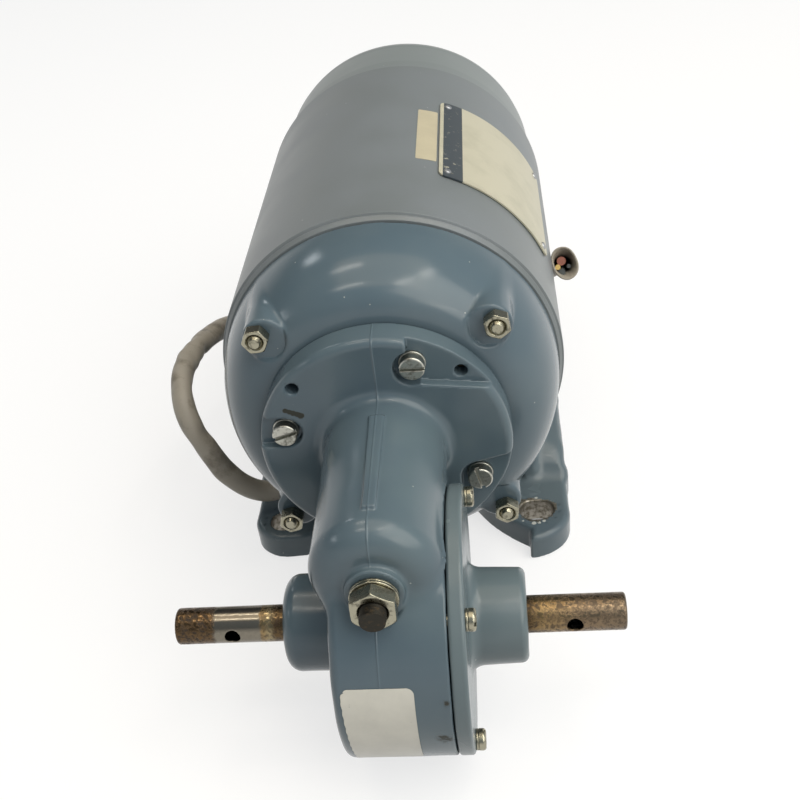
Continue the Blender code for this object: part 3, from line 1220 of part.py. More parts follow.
def build_output_bearings():
    """Make the output shaft's bushes, lip seals and the wheel's thrust washers."""
    bore = OUTPUT_RADIUS + GAP
    place = wheel_place()
    left_seal = LEFT_BOSS_END_X + GAP
    left_bush = LEFT_BOSS_END_X + SEAL_WIDTH + 3 * GAP
    ring("left_bush", bore, BUSH_OUTER_RADIUS, left_bush, CAVITY_LEFT_X, "X", place, BRONZE)
    inner = left_seal + SEAL_WIDTH
    ring("left_shaft_seal", bore, SEAL_OUTER_RADIUS, left_seal, inner, "X", place, BLACK_RUBBER)
    register = JOINT_X + GAP / 2 - COVER_REGISTER
    right_seal = RIGHT_BOSS_END_X - GAP - SEAL_WIDTH
    ring("right_bush", bore, BUSH_OUTER_RADIUS, register, right_seal - 2 * GAP, "X", place, BRONZE)
    outer = right_seal + SEAL_WIDTH
    ring("right_shaft_seal", bore, SEAL_OUTER_RADIUS, right_seal, outer, "X", place, BLACK_RUBBER)
    ring("left_thrust_washer", bore, WHEEL_HUB_RADIUS - 1, CAVITY_LEFT_X + GAP, WHEEL_HUB_LEFT - GAP, "X",
         look=STEEL, parent=OUTPUT_AXIS)
    ring("right_thrust_washer", bore, WHEEL_HUB_RADIUS - 1, WHEEL_HUB_RIGHT + GAP, register - GAP, "X",
         look=STEEL, parent=OUTPUT_AXIS)


def pad_outline(side, front):
    """Outline one foot pad in plan, from its outer front corner to the curve at its inner side."""
    y0 = BASE_FRONT_Y if front else BASE_REAR_Y
    sign = 1 if front else -1
    outer = BASE_HALF_WIDTH
    corner = [(x, y) for x, y in arc((outer - PAD_CORNER, PAD_CORNER), PAD_CORNER, 0, -90, 4)]
    sweep = []
    start = (FOOT_SLOT_X - 4.0, 0.0)
    depth = PAD_LENGTH
    for i in range(1, 6):
        t = i / 5
        x = start[0] + (PAD_INNER_X - start[0]) * math.sin(t * math.pi / 2)
        sweep.append((x, depth * (1 - math.cos(t * math.pi / 2))))
    points = corner + [start] + sweep + [(PAD_INNER_X, depth + 4.0), (outer, depth + 4.0)]
    return [(side * x, y0 + sign * y) for x, y in points]


def slot_outline(x, y):
    """Outline one foot slot, with its long side along X."""
    radius = FOOT_SLOT_WIDTH / 2
    half = FOOT_SLOT_LENGTH / 2 - radius
    return arc((x + half, y), radius, -90, 90, 6) + arc((x - half, y), radius, 90, 270, 6)


def foot_slot_centres():
    """List the four foot slots' centres in plan."""
    rows = (BASE_FRONT_Y + FOOT_SLOT_INSET, BASE_REAR_Y - FOOT_SLOT_INSET)
    return [(side * FOOT_SLOT_X, y) for side in (-1, 1) for y in rows]


def base_screw_places():
    """List the screws that hold the foot bracket to the tube."""
    rows = (BASE_FRONT_Y + BASE_SCREW_INSET, BASE_REAR_Y - BASE_SCREW_INSET)
    return [(side * BASE_SCREW_X, y, 0) for side in (-1, 1) for y in rows]


def build_foot_bracket():
    """Make the foot bracket: a saddle under the tube between two rails, with a pad at each corner."""
    bottom = -AXIS_HEIGHT
    saddle_radius = TUBE_RADIUS + GAP
    edge_x, edge_z = polar(saddle_radius, -SADDLE_EDGE_ANGLE)
    saddle = arc((0, 0), saddle_radius, -SADDLE_EDGE_ANGLE, SADDLE_EDGE_ANGLE - 180, 12)
    section = [(BASE_HALF_WIDTH, bottom), (BASE_HALF_WIDTH, RAIL_TOP_Z - 4.0)]
    section += [(BASE_HALF_WIDTH - 1.2, RAIL_TOP_Z - 1.2), (BASE_HALF_WIDTH - 4.0, RAIL_TOP_Z)]
    section += [(edge_x + 5.5, RAIL_TOP_Z + 3.5), (edge_x + 2.2, edge_z + 0.6)]
    section += saddle
    section += [(-x, z) for x, z in section[:6][::-1]]
    section += [(-BASE_HALF_WIDTH + 9.0, bottom), (-BASE_HALF_WIDTH + 16.0, WEB_BOTTOM_Z),
                (BASE_HALF_WIDTH - 16.0, WEB_BOTTOM_Z), (BASE_HALF_WIDTH - 9.0, bottom)]
    front = BASE_FRONT_Y + PAD_LENGTH
    rear = BASE_REAR_Y - PAD_LENGTH
    bracket = flat_outline("foot_bracket", [section], "Y", front, rear, ENAMEL)
    top = bottom + PAD_THICKNESS
    for side in (-1, 1):
        for is_front in (True, False):
            name = f"pad_{'left' if side < 0 else 'right'}_{'front' if is_front else 'rear'}"
            pad = flat_outline(name, [pad_outline(side, is_front)], "Z", bottom, top, cutter=True)
            boolean(bracket, pad, "UNION")
    for index, (x, y) in enumerate(foot_slot_centres()):
        slot = flat_outline(f"foot_slot_{index}", [slot_outline(x, y)], "Z", bottom - 5, top + 5, cutter=True)
        boolean(bracket, slot)
    holes = cylinders("bracket_screw_holes", base_screw_places(), BASE_SCREW_RADIUS + GAP, bottom, -30, "Z",
                      steps=TINY)
    boolean(bracket, holes)
    return bracket


def build_base_screws():
    """Make the pan-head screws that hold the foot bracket to the tube from below."""
    head_face = WEB_BOTTOM_Z - GAP
    inner_wall = math.sqrt(TUBE_BORE_RADIUS**2 - (BASE_SCREW_X - BASE_SCREW_RADIUS) ** 2)
    profile = [
        (0, head_face - 3.3), (3.6, head_face - 3.3), (4.25, head_face - 2.4), (4.25, head_face),
        (BASE_SCREW_RADIUS, head_face), (BASE_SCREW_RADIUS, -inner_wall - 1.0), (0, -inner_wall - 1.0),
    ]
    screw = turned("base_screw_blank", profile, "Z", steps=SMALL)
    places = [Matrix.Translation(Vector(place) * MM) for place in base_screw_places()]
    repeated(screw, "base_screw", places, ZINC)


def curved_sheet(name, radius, thickness, angles, span, axis, at, look):
    """Make a thin sheet bent round an axis, between two angles and over a span along the axis."""
    count = max(4, round(abs(angles[1] - angles[0]) / 5))
    mesh = bpy.data.meshes.new(name)
    bm = bmesh.new()
    rows = []
    for i in range(count + 1):
        angle = angles[0] + (angles[1] - angles[0]) * i / count
        u, v = polar(radius, angle)
        if axis == "Y":
            ends = [(u, y, v) for y in span]
        else:
            ends = [(x, u, v) for x in span]
        rows.append([bm.verts.new((Vector(at) + Vector(end)) * MM) for end in ends])
    for row, following in zip(rows, rows[1:]):
        bm.faces.new((row[0], row[1], following[1], following[0]))
    outward = Vector(rows[0][0].co) - Vector(at) * MM
    outward[1 if axis == "Y" else 0] = 0
    bm.normal_update()
    bm.faces.ensure_lookup_table()
    if bm.faces[0].normal.dot(outward) < 0:
        bmesh.ops.reverse_faces(bm, faces=bm.faces)
    bm.to_mesh(mesh)
    bm.free()
    mesh.shade_smooth()
    obj = finish_object(name, mesh, look, None, False)
    wall = obj.modifiers.new("thickness", "SOLIDIFY")
    wall.thickness = thickness * MM
    wall.offset = 1.0
    return obj


def build_rating_plate():
    """Make the bare rating plate that is riveted round the tube's side."""
    under = TUBE_RADIUS + GAP
    curved_sheet("rating_plate", under, PLATE_THICKNESS, PLATE_ANGLES, PLATE_Y, "Y", (0, 0, 0), PLATE)


def build_grommet():
    """Make the rubber grommet through which the lead leaves the tube."""
    face = TUBE_RADIUS + GAP
    outer = face + GROMMET_FLANGE_THICKNESS
    profile = [
        (0, TUBE_BORE_RADIUS - 0.8), (GROMMET_RADIUS - 0.4, TUBE_BORE_RADIUS - 0.8),
        (GROMMET_RADIUS - 0.4, face), (GROMMET_FLANGE_RADIUS, face + 0.5),
        (GROMMET_FLANGE_RADIUS - 0.6, outer - 0.4), (GROMMET_FLANGE_RADIUS - 1.8, outer), (0, outer),
    ]
    grommet = turned("lead_grommet", profile, "Z", look=BLACK_RUBBER, steps=SMALL)
    grommet.matrix_local = lead_frame()


def smooth_route(points, count):
    """Read evenly spaced points from a smooth curve through the route's own points."""
    places = [Vector(point) for point in points]
    ends = [places[0] * 2 - places[1]] + places + [places[-1] * 2 - places[-2]]
    dense = []
    for a, b, c, d in zip(ends, ends[1:], ends[2:], ends[3:]):
        for i in range(20):
            t = i / 20
            dense.append(0.5 * (2 * b + (c - a) * t + (2 * a - 5 * b + 4 * c - d) * t**2
                                + (3 * b - 3 * c + d - a) * t**3))
    dense.append(places[-1])
    lengths = [0.0]
    for first, second in zip(dense, dense[1:]):
        lengths.append(lengths[-1] + (second - first).length)
    even = []
    index = 0
    for i in range(count):
        target = lengths[-1] * i / (count - 1)
        while index < len(lengths) - 2 and lengths[index + 1] < target:
            index += 1
        share = (target - lengths[index]) / (lengths[index + 1] - lengths[index])
        even.append(dense[index].lerp(dense[index + 1], min(share, 1.0)))
    return even


def build_lead():
    """Make the sleeved lead: out of the grommet, round in a loop, under the motor to its bare end."""
    start = TUBE_RADIUS + GROMMET_FLANGE_THICKNESS + 3 * GAP
    across, down = polar(start, LEAD_EXIT_ANGLE)
    exit_point = (across, LEAD_EXIT_Y, down)
    spread = TUBE_RADIUS / LEAD_ROUTE_TUBE_RADIUS
    route = tuple((x * spread, y, z * spread) for x, y, z in LEAD_ROUTE)
    points = smooth_route((exit_point,) + route, LEAD_POINT_COUNT)
    curve = bpy.data.curves.new("motor_lead", "CURVE")
    curve.dimensions = "3D"
    curve.bevel_depth = LEAD_DIAMETER / 2 * MM
    curve.bevel_resolution = 2
    curve.use_fill_caps = True
    spline = curve.splines.new("POLY")
    spline.points.add(len(points) - 1)
    for point, place in zip(spline.points, points):
        point.co = (*(place * MM), 1)
    curve.materials.append(SLEEVE)
    lead = bpy.data.objects.new("motor_lead", curve)
    lead.parent = FRAME
    PARTS.objects.link(lead)


def finish_shading():
    """Give every modelled piece its finished mesh, shaded smooth with its corners kept sharp."""
    for obj in [obj for obj in PARTS.objects if obj.type == "MESH" and obj.modifiers]:
        look = obj.data.materials[0]
        mesh = evaluated_mesh(obj)
        mesh.name = obj.name
        mesh.materials.clear()
        mesh.materials.append(look)
        obj.modifiers.clear()
        obj.data = mesh
        obj.matrix_local = Matrix.Identity(4)
        shade(mesh)


def build_model():
    """Build every piece of the gear motor."""
    build_front_shield()
    build_motor_tube()
    build_rear_cover()
    build_tie_rods()
    build_stator()
    build_rotor()
    build_worm_shaft()
    build_ball_bearing("front_bearing", FRONT_BEARING_Y, FRONT_BEARING_WIDTH, FRONT_BEARING_OUTER,
                       FRONT_JOURNAL_RADIUS, FRONT_BALL_RADIUS, FRONT_BALL_COUNT)
    build_ball_bearing("rear_bearing", REAR_BEARING_Y, REAR_BEARING_WIDTH, REAR_BEARING_OUTER,
                       REAR_JOURNAL_RADIUS, REAR_BALL_RADIUS, REAR_BALL_COUNT)
    build_wave_washer()
    build_gearbox_housing()
    build_gearbox_cover()
    build_fasteners()
    build_worm_end()
    build_worm_wheel()
    build_output_shaft()
    build_output_bearings()
    build_foot_bracket()
    build_base_screws()
    build_rating_plate()
    build_grommet()
    build_lead()
    finish_shading()


build_model()
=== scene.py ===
"""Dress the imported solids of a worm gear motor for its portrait.

Every length below is in millimetres in the motor's own frame: the origin lies on the motor axis
in the front plane of the tie-rod nuts, X runs right, Y to the rear and Z up. The function world
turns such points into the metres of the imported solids.
"""

import logging
import math
from collections.abc import Callable
from dataclasses import dataclass
from enum import Enum
from functools import cache

import bpy
import numpy as np
from mathutils import Matrix

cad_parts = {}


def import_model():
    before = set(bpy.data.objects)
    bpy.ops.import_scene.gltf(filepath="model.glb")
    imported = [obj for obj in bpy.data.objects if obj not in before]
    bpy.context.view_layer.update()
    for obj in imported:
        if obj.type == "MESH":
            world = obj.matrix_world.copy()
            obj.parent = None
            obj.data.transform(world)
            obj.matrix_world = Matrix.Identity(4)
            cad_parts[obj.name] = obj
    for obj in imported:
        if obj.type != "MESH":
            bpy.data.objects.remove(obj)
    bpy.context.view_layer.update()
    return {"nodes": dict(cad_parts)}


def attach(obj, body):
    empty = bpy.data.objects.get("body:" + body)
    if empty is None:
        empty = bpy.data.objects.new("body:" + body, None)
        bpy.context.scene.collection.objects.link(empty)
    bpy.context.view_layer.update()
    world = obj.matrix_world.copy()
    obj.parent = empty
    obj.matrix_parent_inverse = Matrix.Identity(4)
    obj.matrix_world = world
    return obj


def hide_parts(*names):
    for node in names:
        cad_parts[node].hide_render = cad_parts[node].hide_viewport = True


LOG = logging.getLogger("gear_motor")
MM = 0.001
ORIGIN = np.array([-1.75, -71.8, 84.0])
FRAME_BODY = "motor_frame"
OUTPUT_BODY = "output"
# The output shaft's axis runs along X through this y and z.
OUTPUT_Y, OUTPUT_Z = -48.9, -38.75
CENTRE = (0.0, 0.0, 0.0)
ALONG_Y = (0.0, 1.0, 0.0)
ALONG_Z = (0.0, 0.0, 1.0)

Array = np.ndarray
Field = Callable[[Array, Array, Array], Array]


def world(points: Array) -> Array:
    """Turn motor-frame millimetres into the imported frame's metres."""
    return (np.asarray(points, float) + ORIGIN) * MM


# ---------------------------------------------------------------- surfaces


@dataclass
class Surface:
    """Points, faces and outward normals of one closed skin, in motor-frame millimetres."""

    points: Array
    faces: list[Array]
    normals: Array | None = None

    def joined_with(self, other: "Surface") -> "Surface":
        """Put another closed skin beside this one, in one mesh.

        Args:
            other: The other skin.

        Returns:
            The skin of both.
        """
        moved = [faces + len(self.points) for faces in other.faces]
        normals = None
        if self.normals is not None and other.normals is not None:
            normals = np.vstack([self.normals, other.normals])
        return Surface(np.vstack([self.points, other.points]), self.faces + moved, normals)

    def turned(self, axis: Array, angle: float, place: Array) -> "Surface":
        """Turn the skin about an axis through the origin, in degrees, then move it to a place.

        Args:
            axis: The axis, of any length.
            angle: The angle in degrees.
            place: The new place of the origin.

        Returns:
            The moved skin.
        """
        matrix = rotation(axis, angle)
        normals = None if self.normals is None else self.normals @ matrix.T
        return Surface(self.points @ matrix.T + np.asarray(place, float), self.faces, normals)


def stood_out(surface: Surface, angle: float, y: float) -> Surface:
    """Turn a skin that stands along Y to stand out from the motor axis at an angle and a y."""
    x, z = polar(1.0, angle)
    return surface.turned(np.cross(ALONG_Y, [x, 0.0, z]), 90.0, (0.0, y, 0.0))


def rotation(axis: Array, angle: float) -> Array:
    """Give the matrix that turns by an angle in degrees about an axis (Rodrigues' formula).

    Args:
        axis: The axis, of any length.
        angle: The angle in degrees.

    Returns:
        The 3 by 3 matrix.
    """
    x, y, z = np.asarray(axis, float) / np.linalg.norm(axis)
    cross = np.array([[0, -z, y], [z, 0, -x], [-y, x, 0]])
    turn = math.radians(angle)
    return np.eye(3) + math.sin(turn) * cross + (1 - math.cos(turn)) * cross @ cross


def polar(radius: float, angle: float) -> tuple[float, float]:
    """Give the point at a radius and an angle in degrees."""
    return radius * math.cos(math.radians(angle)), radius * math.sin(math.radians(angle))


def outward(surface: Surface) -> Surface:
    """Flip every face if most faces look against the given normals.

    Args:
        surface: A skin whose normals are known.

    Returns:
        The same skin.
    """
    faces = surface.faces[0]
    corners = surface.points[faces[:, :3]]
    facing = np.cross(corners[:, 1] - corners[:, 0], corners[:, 2] - corners[:, 0])
    if np.sum(facing * surface.normals[faces[:, 0]]) < 0:
        surface.faces = [group[:, ::-1] for group in surface.faces]
    return surface


def rounded_outline(corners: list[tuple[float, float, float]], steps: int = 6) -> tuple[Array, Array]:
    """Round an outline's corners with arcs tangent to both sides.

    Each inner corner is (radius from the axis, height, rounding). An arc's centre lies on the
    corner's bisector at rounding / sin(half the corner's angle); the normals are the arc's own.

    Args:
        corners: The outline from end to end, with the solid on its left hand.
        steps: How many chords each arc has.

    Returns:
        The outline's points and its normals, one row each.
    """
    points, normals = [], []
    places = [np.array(corner[:2], float) for corner in corners]
    for index, (here, corner) in enumerate(zip(places, corners)):
        if index in (0, len(corners) - 1):
            other = places[1] - here if index == 0 else here - places[-2]
            along = other / np.linalg.norm(other)
            points.append(here)
            normals.append([along[1], -along[0]])
            continue
        back = places[index - 1] - here
        on = places[index + 1] - here
        back, on = back / np.linalg.norm(back), on / np.linalg.norm(on)
        half = math.acos(float(np.clip(back @ on, -1, 1))) / 2
        bisector = (back + on) / np.linalg.norm(back + on)
        centre = here + bisector * corner[2] / math.sin(half)
        start = here + back * corner[2] / math.tan(half) - centre
        end = here + on * corner[2] / math.tan(half) - centre
        turn = math.copysign(1.0, -back[0] * on[1] + back[1] * on[0])
        share = np.linspace(0, 1, steps + 1)[:, None]
        spread = math.pi / 2 - half
        weights = np.sin((1 - share) * 2 * spread), np.sin(share * 2 * spread)
        arc = (start * weights[0] + end * weights[1]) / math.sin(2 * spread)
        points.extend(centre + arc)
        normals.extend(turn * arc / corner[2])
    return np.array(points), np.array(normals)


def revolved(
    corners: list[tuple[float, float, float]], axis: str, centre: tuple[float, float, float], steps: int = 160
) -> Surface:
    """Turn a rounded outline about an axis: a point (r, h) goes to r cos a, r sin a and h.

    Args:
        corners: (radius, height, rounding), with the solid on the left hand. An outline that
            starts and ends on the axis gets poles; any other is closed on itself.
        axis: X or Y.
        centre: A point of the axis, at height 0.
        steps: Facets in a full turn.

    Returns:
        The closed skin with its exact normals.
    """
    closed = corners[0][0] > 0
    if closed:
        corners = [corners[-1]] + corners + [corners[0]]
    outline, outline_normals = rounded_outline(corners)
    if closed:
        outline, outline_normals = outline[1:-1], outline_normals[1:-1]
    ring = outline if closed else outline[1:-1]
    ring_normals = outline_normals if closed else outline_normals[1:-1]
    angle = np.arange(steps) * math.tau / steps
    cosine, sine = np.cos(angle)[None, :], np.sin(angle)[None, :]

    def spread(pairs: Array) -> Array:
        """Carry (radial, axial) pairs round the axis.

        Args:
            pairs: The pairs, one a row.

        Returns:
            The points, one a row.
        """
        radial, axial = pairs[:, :1], pairs[:, 1:] + 0 * cosine
        columns = (radial * cosine, axial, radial * sine)
        if axis == "X":
            columns = (axial, radial * cosine, radial * sine)
        return np.stack(columns, axis=-1).reshape(-1, 3)

    rows = len(ring)
    index = np.arange(rows * steps).reshape(rows, steps)
    upper = np.roll(index, -1, axis=0) if closed else index[1:]
    lower = index if closed else index[:-1]
    quads = np.stack([lower, np.roll(lower, -1, axis=1), np.roll(upper, -1, axis=1), upper], axis=-1)
    points, normals, faces = spread(ring), spread(ring_normals), [quads.reshape(-1, 4)]
    if not closed:
        poles = spread(outline[[0, -1]])[[0, steps]]
        ends = spread(np.array([[0.0, outline_normals[0][1]], [0.0, outline_normals[-1][1]]]))[[0, steps]]
        first, last = index[0], index[-1]
        low, high = np.full(steps, len(points)), np.full(steps, len(points) + 1)
        faces.append(np.stack([low, np.roll(first, -1), first], axis=-1))
        faces.append(np.stack([last, np.roll(last, -1), high], axis=-1))
        points, normals = np.vstack([points, poles]), np.vstack([normals, ends])
    surface = Surface(points + np.array(centre, float), faces, normals)
    return outward(surface)


def carried_sides(path: Array) -> tuple[Array, Array]:
    """Carry two side vectors along a path without twist.

    Each u is the last one with its part along the new tangent t taken out, and v is t x u.

    Args:
        path: The centre line, one row per ring.

    Returns:
        The vectors u and v, one row each per ring.
    """
    tangent = np.gradient(path, axis=0)
    tangent /= np.linalg.norm(tangent, axis=1, keepdims=True)
    side = np.zeros_like(path)
    guide = np.cross(tangent[0], ALONG_Z)
    for row, along in enumerate(tangent):
        guide = guide - along * (guide @ along)
        guide /= np.linalg.norm(guide)
        side[row] = guide
    return side, np.cross(tangent, side)


def tube_skin(path: Array, radius: Array, side: Array, other: Array) -> Surface:
    """Carry a ring along a path and close both its ends.

    Point (i, j) is path[i] + radius[i, j] (cos a u + sin a v), with u and v the side vectors.

    Args:
        path: The centre line, one row per ring.
        radius: One radius for each ring and each direction.
        side: The vector u of each ring.
        other: The vector v of each ring.

    Returns:
        The closed skin. Its ends are fans round the path's end points.
    """
    rows, steps = radius.shape
    angle = np.arange(steps) * math.tau / steps
    rings = (
        path[:, None, :]
        + (radius * np.cos(angle))[:, :, None] * side[:, None, :]
        + (radius * np.sin(angle))[:, :, None] * other[:, None, :]
    )
    index = np.arange(rows * steps).reshape(rows, steps)
    on = np.roll(index, -1, axis=1)
    quads = np.stack([index[:-1], on[:-1], on[1:], index[1:]], axis=-1).reshape(-1, 4)
    points = np.vstack([rings.reshape(-1, 3), path[:1], path[-1:]])
    first, last = rows * steps, rows * steps + 1
    low = np.stack([np.full(steps, first), on[0], index[0]], axis=-1)
    high = np.stack([index[-1], on[-1], np.full(steps, last)], axis=-1)
    return Surface(points, [quads, low, high])


def bent_sheet(
    place: Callable[[Array, Array, Array], Array], half_width: Callable[[Array], Array], half_height: float,
    thickness: float, counts: tuple[int, int],
) -> Surface:
    """Make a thin closed sheet whose outline narrows with height.

    A grid point (s, t), each from -1 to 1, lies at u = s half_width(v), v = t half_height, and
    place carries (u, v, depth) onto the curved surface that the sheet lies on.

    Args:
        place: Carries (u, v, depth) arrays to points.
        half_width: The outline's half width at height v, as an array function.
        half_height: Half of the sheet's height.
        thickness: Depth of the outer face over the inner one.
        counts: Grid cells along u and v.

    Returns:
        The closed skin: outer face, inner face and rim.
    """
    across, up = counts
    s, t = np.meshgrid(np.linspace(-1, 1, across + 1), np.sin(np.linspace(-1, 1, up + 1) * math.pi / 2))
    v = t * half_height
    left, right = half_width(v)
    u = np.where(s < 0, s * left, s * right)
    outer = place(u, v, np.full_like(u, thickness)).reshape(-1, 3)
    inner = place(u, v, np.zeros_like(u)).reshape(-1, 3)
    index = np.arange((across + 1) * (up + 1)).reshape(up + 1, across + 1)
    front = np.stack([index[:-1, :-1], index[:-1, 1:], index[1:, 1:], index[1:, :-1]], axis=-1).reshape(-1, 4)
    border = np.concatenate([index[0, :], index[1:, -1], index[-1, -2::-1], index[-2:0:-1, 0]])
    on = np.roll(border, -1)
    size = len(outer)
    rim = np.stack([border, border + size, on + size, on], axis=-1)
    surface = Surface(np.vstack([outer, inner]), [front, front[:, ::-1] + size, rim])
    probe = outer[front[:, 0]] - inner[front[:, 0]]
    corners = outer[front[:, :3]]
    facing = np.cross(corners[:, 1] - corners[:, 0], corners[:, 2] - corners[:, 0])
    if np.sum(facing * probe) < 0:
        surface.faces = [group[:, ::-1] for group in surface.faces]
    return surface


# ---------------------------------------------------------------- blended solids
# A casting's fillets run into each other, which no single grid can give. So a casting is a
# field: a distance that is negative inside. Its pieces are blended, and its zero surface is read.


def joined(a: Array, b: Array, blend: float) -> Array:
    """Join two solids with a fillet: the smaller value, less a parabola where they nearly agree."""
    near = np.maximum(blend - np.abs(a - b), 0)
    return np.minimum(a, b) - near * near / (4 * blend)


def cut(a: Array, b: Array, blend: float) -> Array:
    """Take solid b from solid a, with the new edge rounded as joined rounds a corner."""
    return -joined(-a, b, blend)


def common(a: Array, b: Array, blend: float) -> Array:
    """Keep what two solids share, with the new edge rounded."""
    return -joined(-a, -b, blend)


def capped(radial: Array, along: Array, radius: float | Array, low: float, high: float, edge: float) -> Array:
    """Give the distance to a cylinder with rounded rims.

    It is the distance to the inner, smaller cylinder, less the rim's radius.

    Args:
        radial: Distances from the cylinder's axis.
        along: Places along its axis.
        radius: Its radius.
        low: Where it starts along its axis.
        high: Where it ends along its axis.
        edge: The edges' rounding.

    Returns:
        The distance, negative inside.
    """
    a = radial - (radius - edge)
    b = np.abs(along - (low + high) / 2) - ((high - low) / 2 - edge)
    return np.minimum(np.maximum(a, b), 0) + np.hypot(np.maximum(a, 0), np.maximum(b, 0)) - edge


def block(x: Array, y: Array, z: Array, low: tuple, high: tuple, edge: float) -> Array:
    """Give the distance to a box with rounded edges: the distance to a smaller box, less the edge.

    Args:
        x: The points' x.
        y: The points' y.
        z: The points' z.
        low: The lower end on each axis.
        high: The upper end on each axis.
        edge: The edges' rounding.

    Returns:
        The distance, negative inside.
    """
    parts = []
    for value, start, end in zip((x, y, z), low, high):
        parts.append(np.abs(value - (start + end) / 2) - ((end - start) / 2 - edge))
    most = np.maximum(np.maximum(parts[0], parts[1]), parts[2])
    beyond = sum(np.maximum(part, 0) ** 2 for part in parts)
    return np.minimum(most, 0) + np.sqrt(beyond) - edge


def grid_line(low: float, high: float, step: float, fine: list[tuple[float, float, float]]) -> Array:
    """Space a grid's planes by a step, and closer inside the fine stretches.

    Args:
        low: The first plane.
        high: The place to reach.
        step: The usual spacing.
        fine: Stretches as (start, end, spacing).

    Returns:
        The planes' places.
    """
    marks = [low]
    while marks[-1] < high:
        here = step
        for start, end, small in fine:
            if start - 1e-9 <= marks[-1] < end:
                here = min(here, small)
        marks.append(marks[-1] + here)
    return np.array(marks)


def zero_surface(field: Field, lines: tuple[Array, Array, Array], rounds: int = 4) -> Surface:
    """Read a field's zero surface as quads, one vertex in each grid cell that it crosses.

    A vertex starts at the mean of its cell's edge crossings. Newton's step, the value times the
    gradient over the gradient's square, then brings it onto the surface. Normals are gradients.

    Args:
        field: The distance, negative inside.
        lines: The grid planes' places on each axis.
        rounds: How many Newton steps are taken.

    Returns:
        The closed skin with its exact normals.
    """
    x, y, z = np.meshgrid(*[line.astype(np.float32) for line in lines], indexing="ij", sparse=True)
    value = field(x, y, z).astype(np.float32)
    value[value == 0] = 1e-6
    inside = value < 0
    shape = tuple(n - 1 for n in value.shape)
    count = np.zeros(shape, np.uint8)
    corners = [(i, j, k) for i in (0, 1) for j in (0, 1) for k in (0, 1)]
    for i, j, k in corners:
        count += inside[i : i + shape[0], j : j + shape[1], k : k + shape[2]]
    cells = np.argwhere((count > 0) & (count < 8))
    number = np.full(shape, -1, np.int64)
    number[tuple(cells.T)] = np.arange(len(cells))
    total, hits = np.zeros((len(cells), 3)), np.zeros(len(cells))
    for corner in corners:
        for axis in range(3):
            if corner[axis]:
                continue
            a = cells + corner
            b = a.copy()
            b[:, axis] += 1
            at_a, at_b = value[tuple(a.T)].astype(float), value[tuple(b.T)].astype(float)
            crossed = (at_a < 0) != (at_b < 0)
            share = at_a[crossed] / (at_a[crossed] - at_b[crossed])
            place = np.stack([lines[n][a[crossed, n]] for n in range(3)], axis=1)
            place[:, axis] += share * (lines[axis][b[crossed, axis]] - place[:, axis])
            total[crossed] += place
            hits[crossed] += 1
    points = total / hits[:, None]
    size = np.stack([np.diff(lines[n])[cells[:, n]] for n in range(3)], axis=1)
    start, reach = points.copy(), 0.75 * size
    for _ in range(rounds):
        slope = gradient(field, points)
        height = field(*points.T)
        step = slope * (height / np.maximum(np.sum(slope * slope, axis=1), 0.04))[:, None]
        points = np.clip(points - step, start - reach, start + reach)
    slope = gradient(field, points)
    normals = slope / np.maximum(np.linalg.norm(slope, axis=1, keepdims=True), 1e-9)
    quads = []
    for axis in range(3):
        low = tuple(slice(None, -1) if n == axis else slice(1, -1) for n in range(3))
        high = tuple(slice(1, None) if n == axis else slice(1, -1) for n in range(3))
        edge = inside[low] != inside[high]
        base = np.argwhere(edge)
        base += [0 if n == axis else 1 for n in range(3)]
        first, second = [n for n in range(3) if n != axis]
        ring = []
        for da, db in ((-1, -1), (0, -1), (0, 0), (-1, 0)):
            cell = base.copy()
            cell[:, first] += da
            cell[:, second] += db
            ring.append(number[tuple(cell.T)])
        quad = np.stack(ring, axis=1)
        positive = inside[tuple(base.T)]
        if axis == 1:
            positive = ~positive
        quad[~positive] = quad[~positive][:, ::-1]
        quads.append(quad)
    return Surface(points, [np.vstack(quads)], normals)


def gradient(field: Field, points: Array, reach: float = 0.02) -> Array:
    """Give a field's gradient at points by central differences.

    Args:
        field: The field.
        points: The points, one a row.
        reach: Half of each difference's step.

    Returns:
        The gradients, one a row.
    """
    columns = []
    for axis in range(3):
        offset = np.zeros(3)
        offset[axis] = reach
        columns.append((field(*(points + offset).T) - field(*(points - offset).T)) / (2 * reach))
    return np.stack(columns, axis=1)


def unevenness(x: Array, y: Array, z: Array, height: float, length: float) -> Array:
    """Give a sand casting's slow waves: three sine products, turned against each other.

    Args:
        x: The points' x.
        y: The points' y.
        z: The points' z.
        height: The waves' height.
        length: The waves' length.

    Returns:
        The waves' value at each point.
    """
    k = math.tau / length
    first = np.sin(k * (0.9 * x + 0.3 * z)) * np.sin(k * (0.8 * y - 0.4 * x) + 1.3)
    second = np.sin(k * (1.3 * z + 0.5 * y) + 2.1) * np.sin(k * (0.7 * x - 0.9 * y) + 0.4)
    return height * 0.5 * (first + second)


# ---------------------------------------------------------------- pieces


class Corners(Enum):
    """How a piece's edges are shaded."""

    EXACT = "the surface brings its own normals"
    BY_ANGLE = "edges over 40 degrees stay sharp"


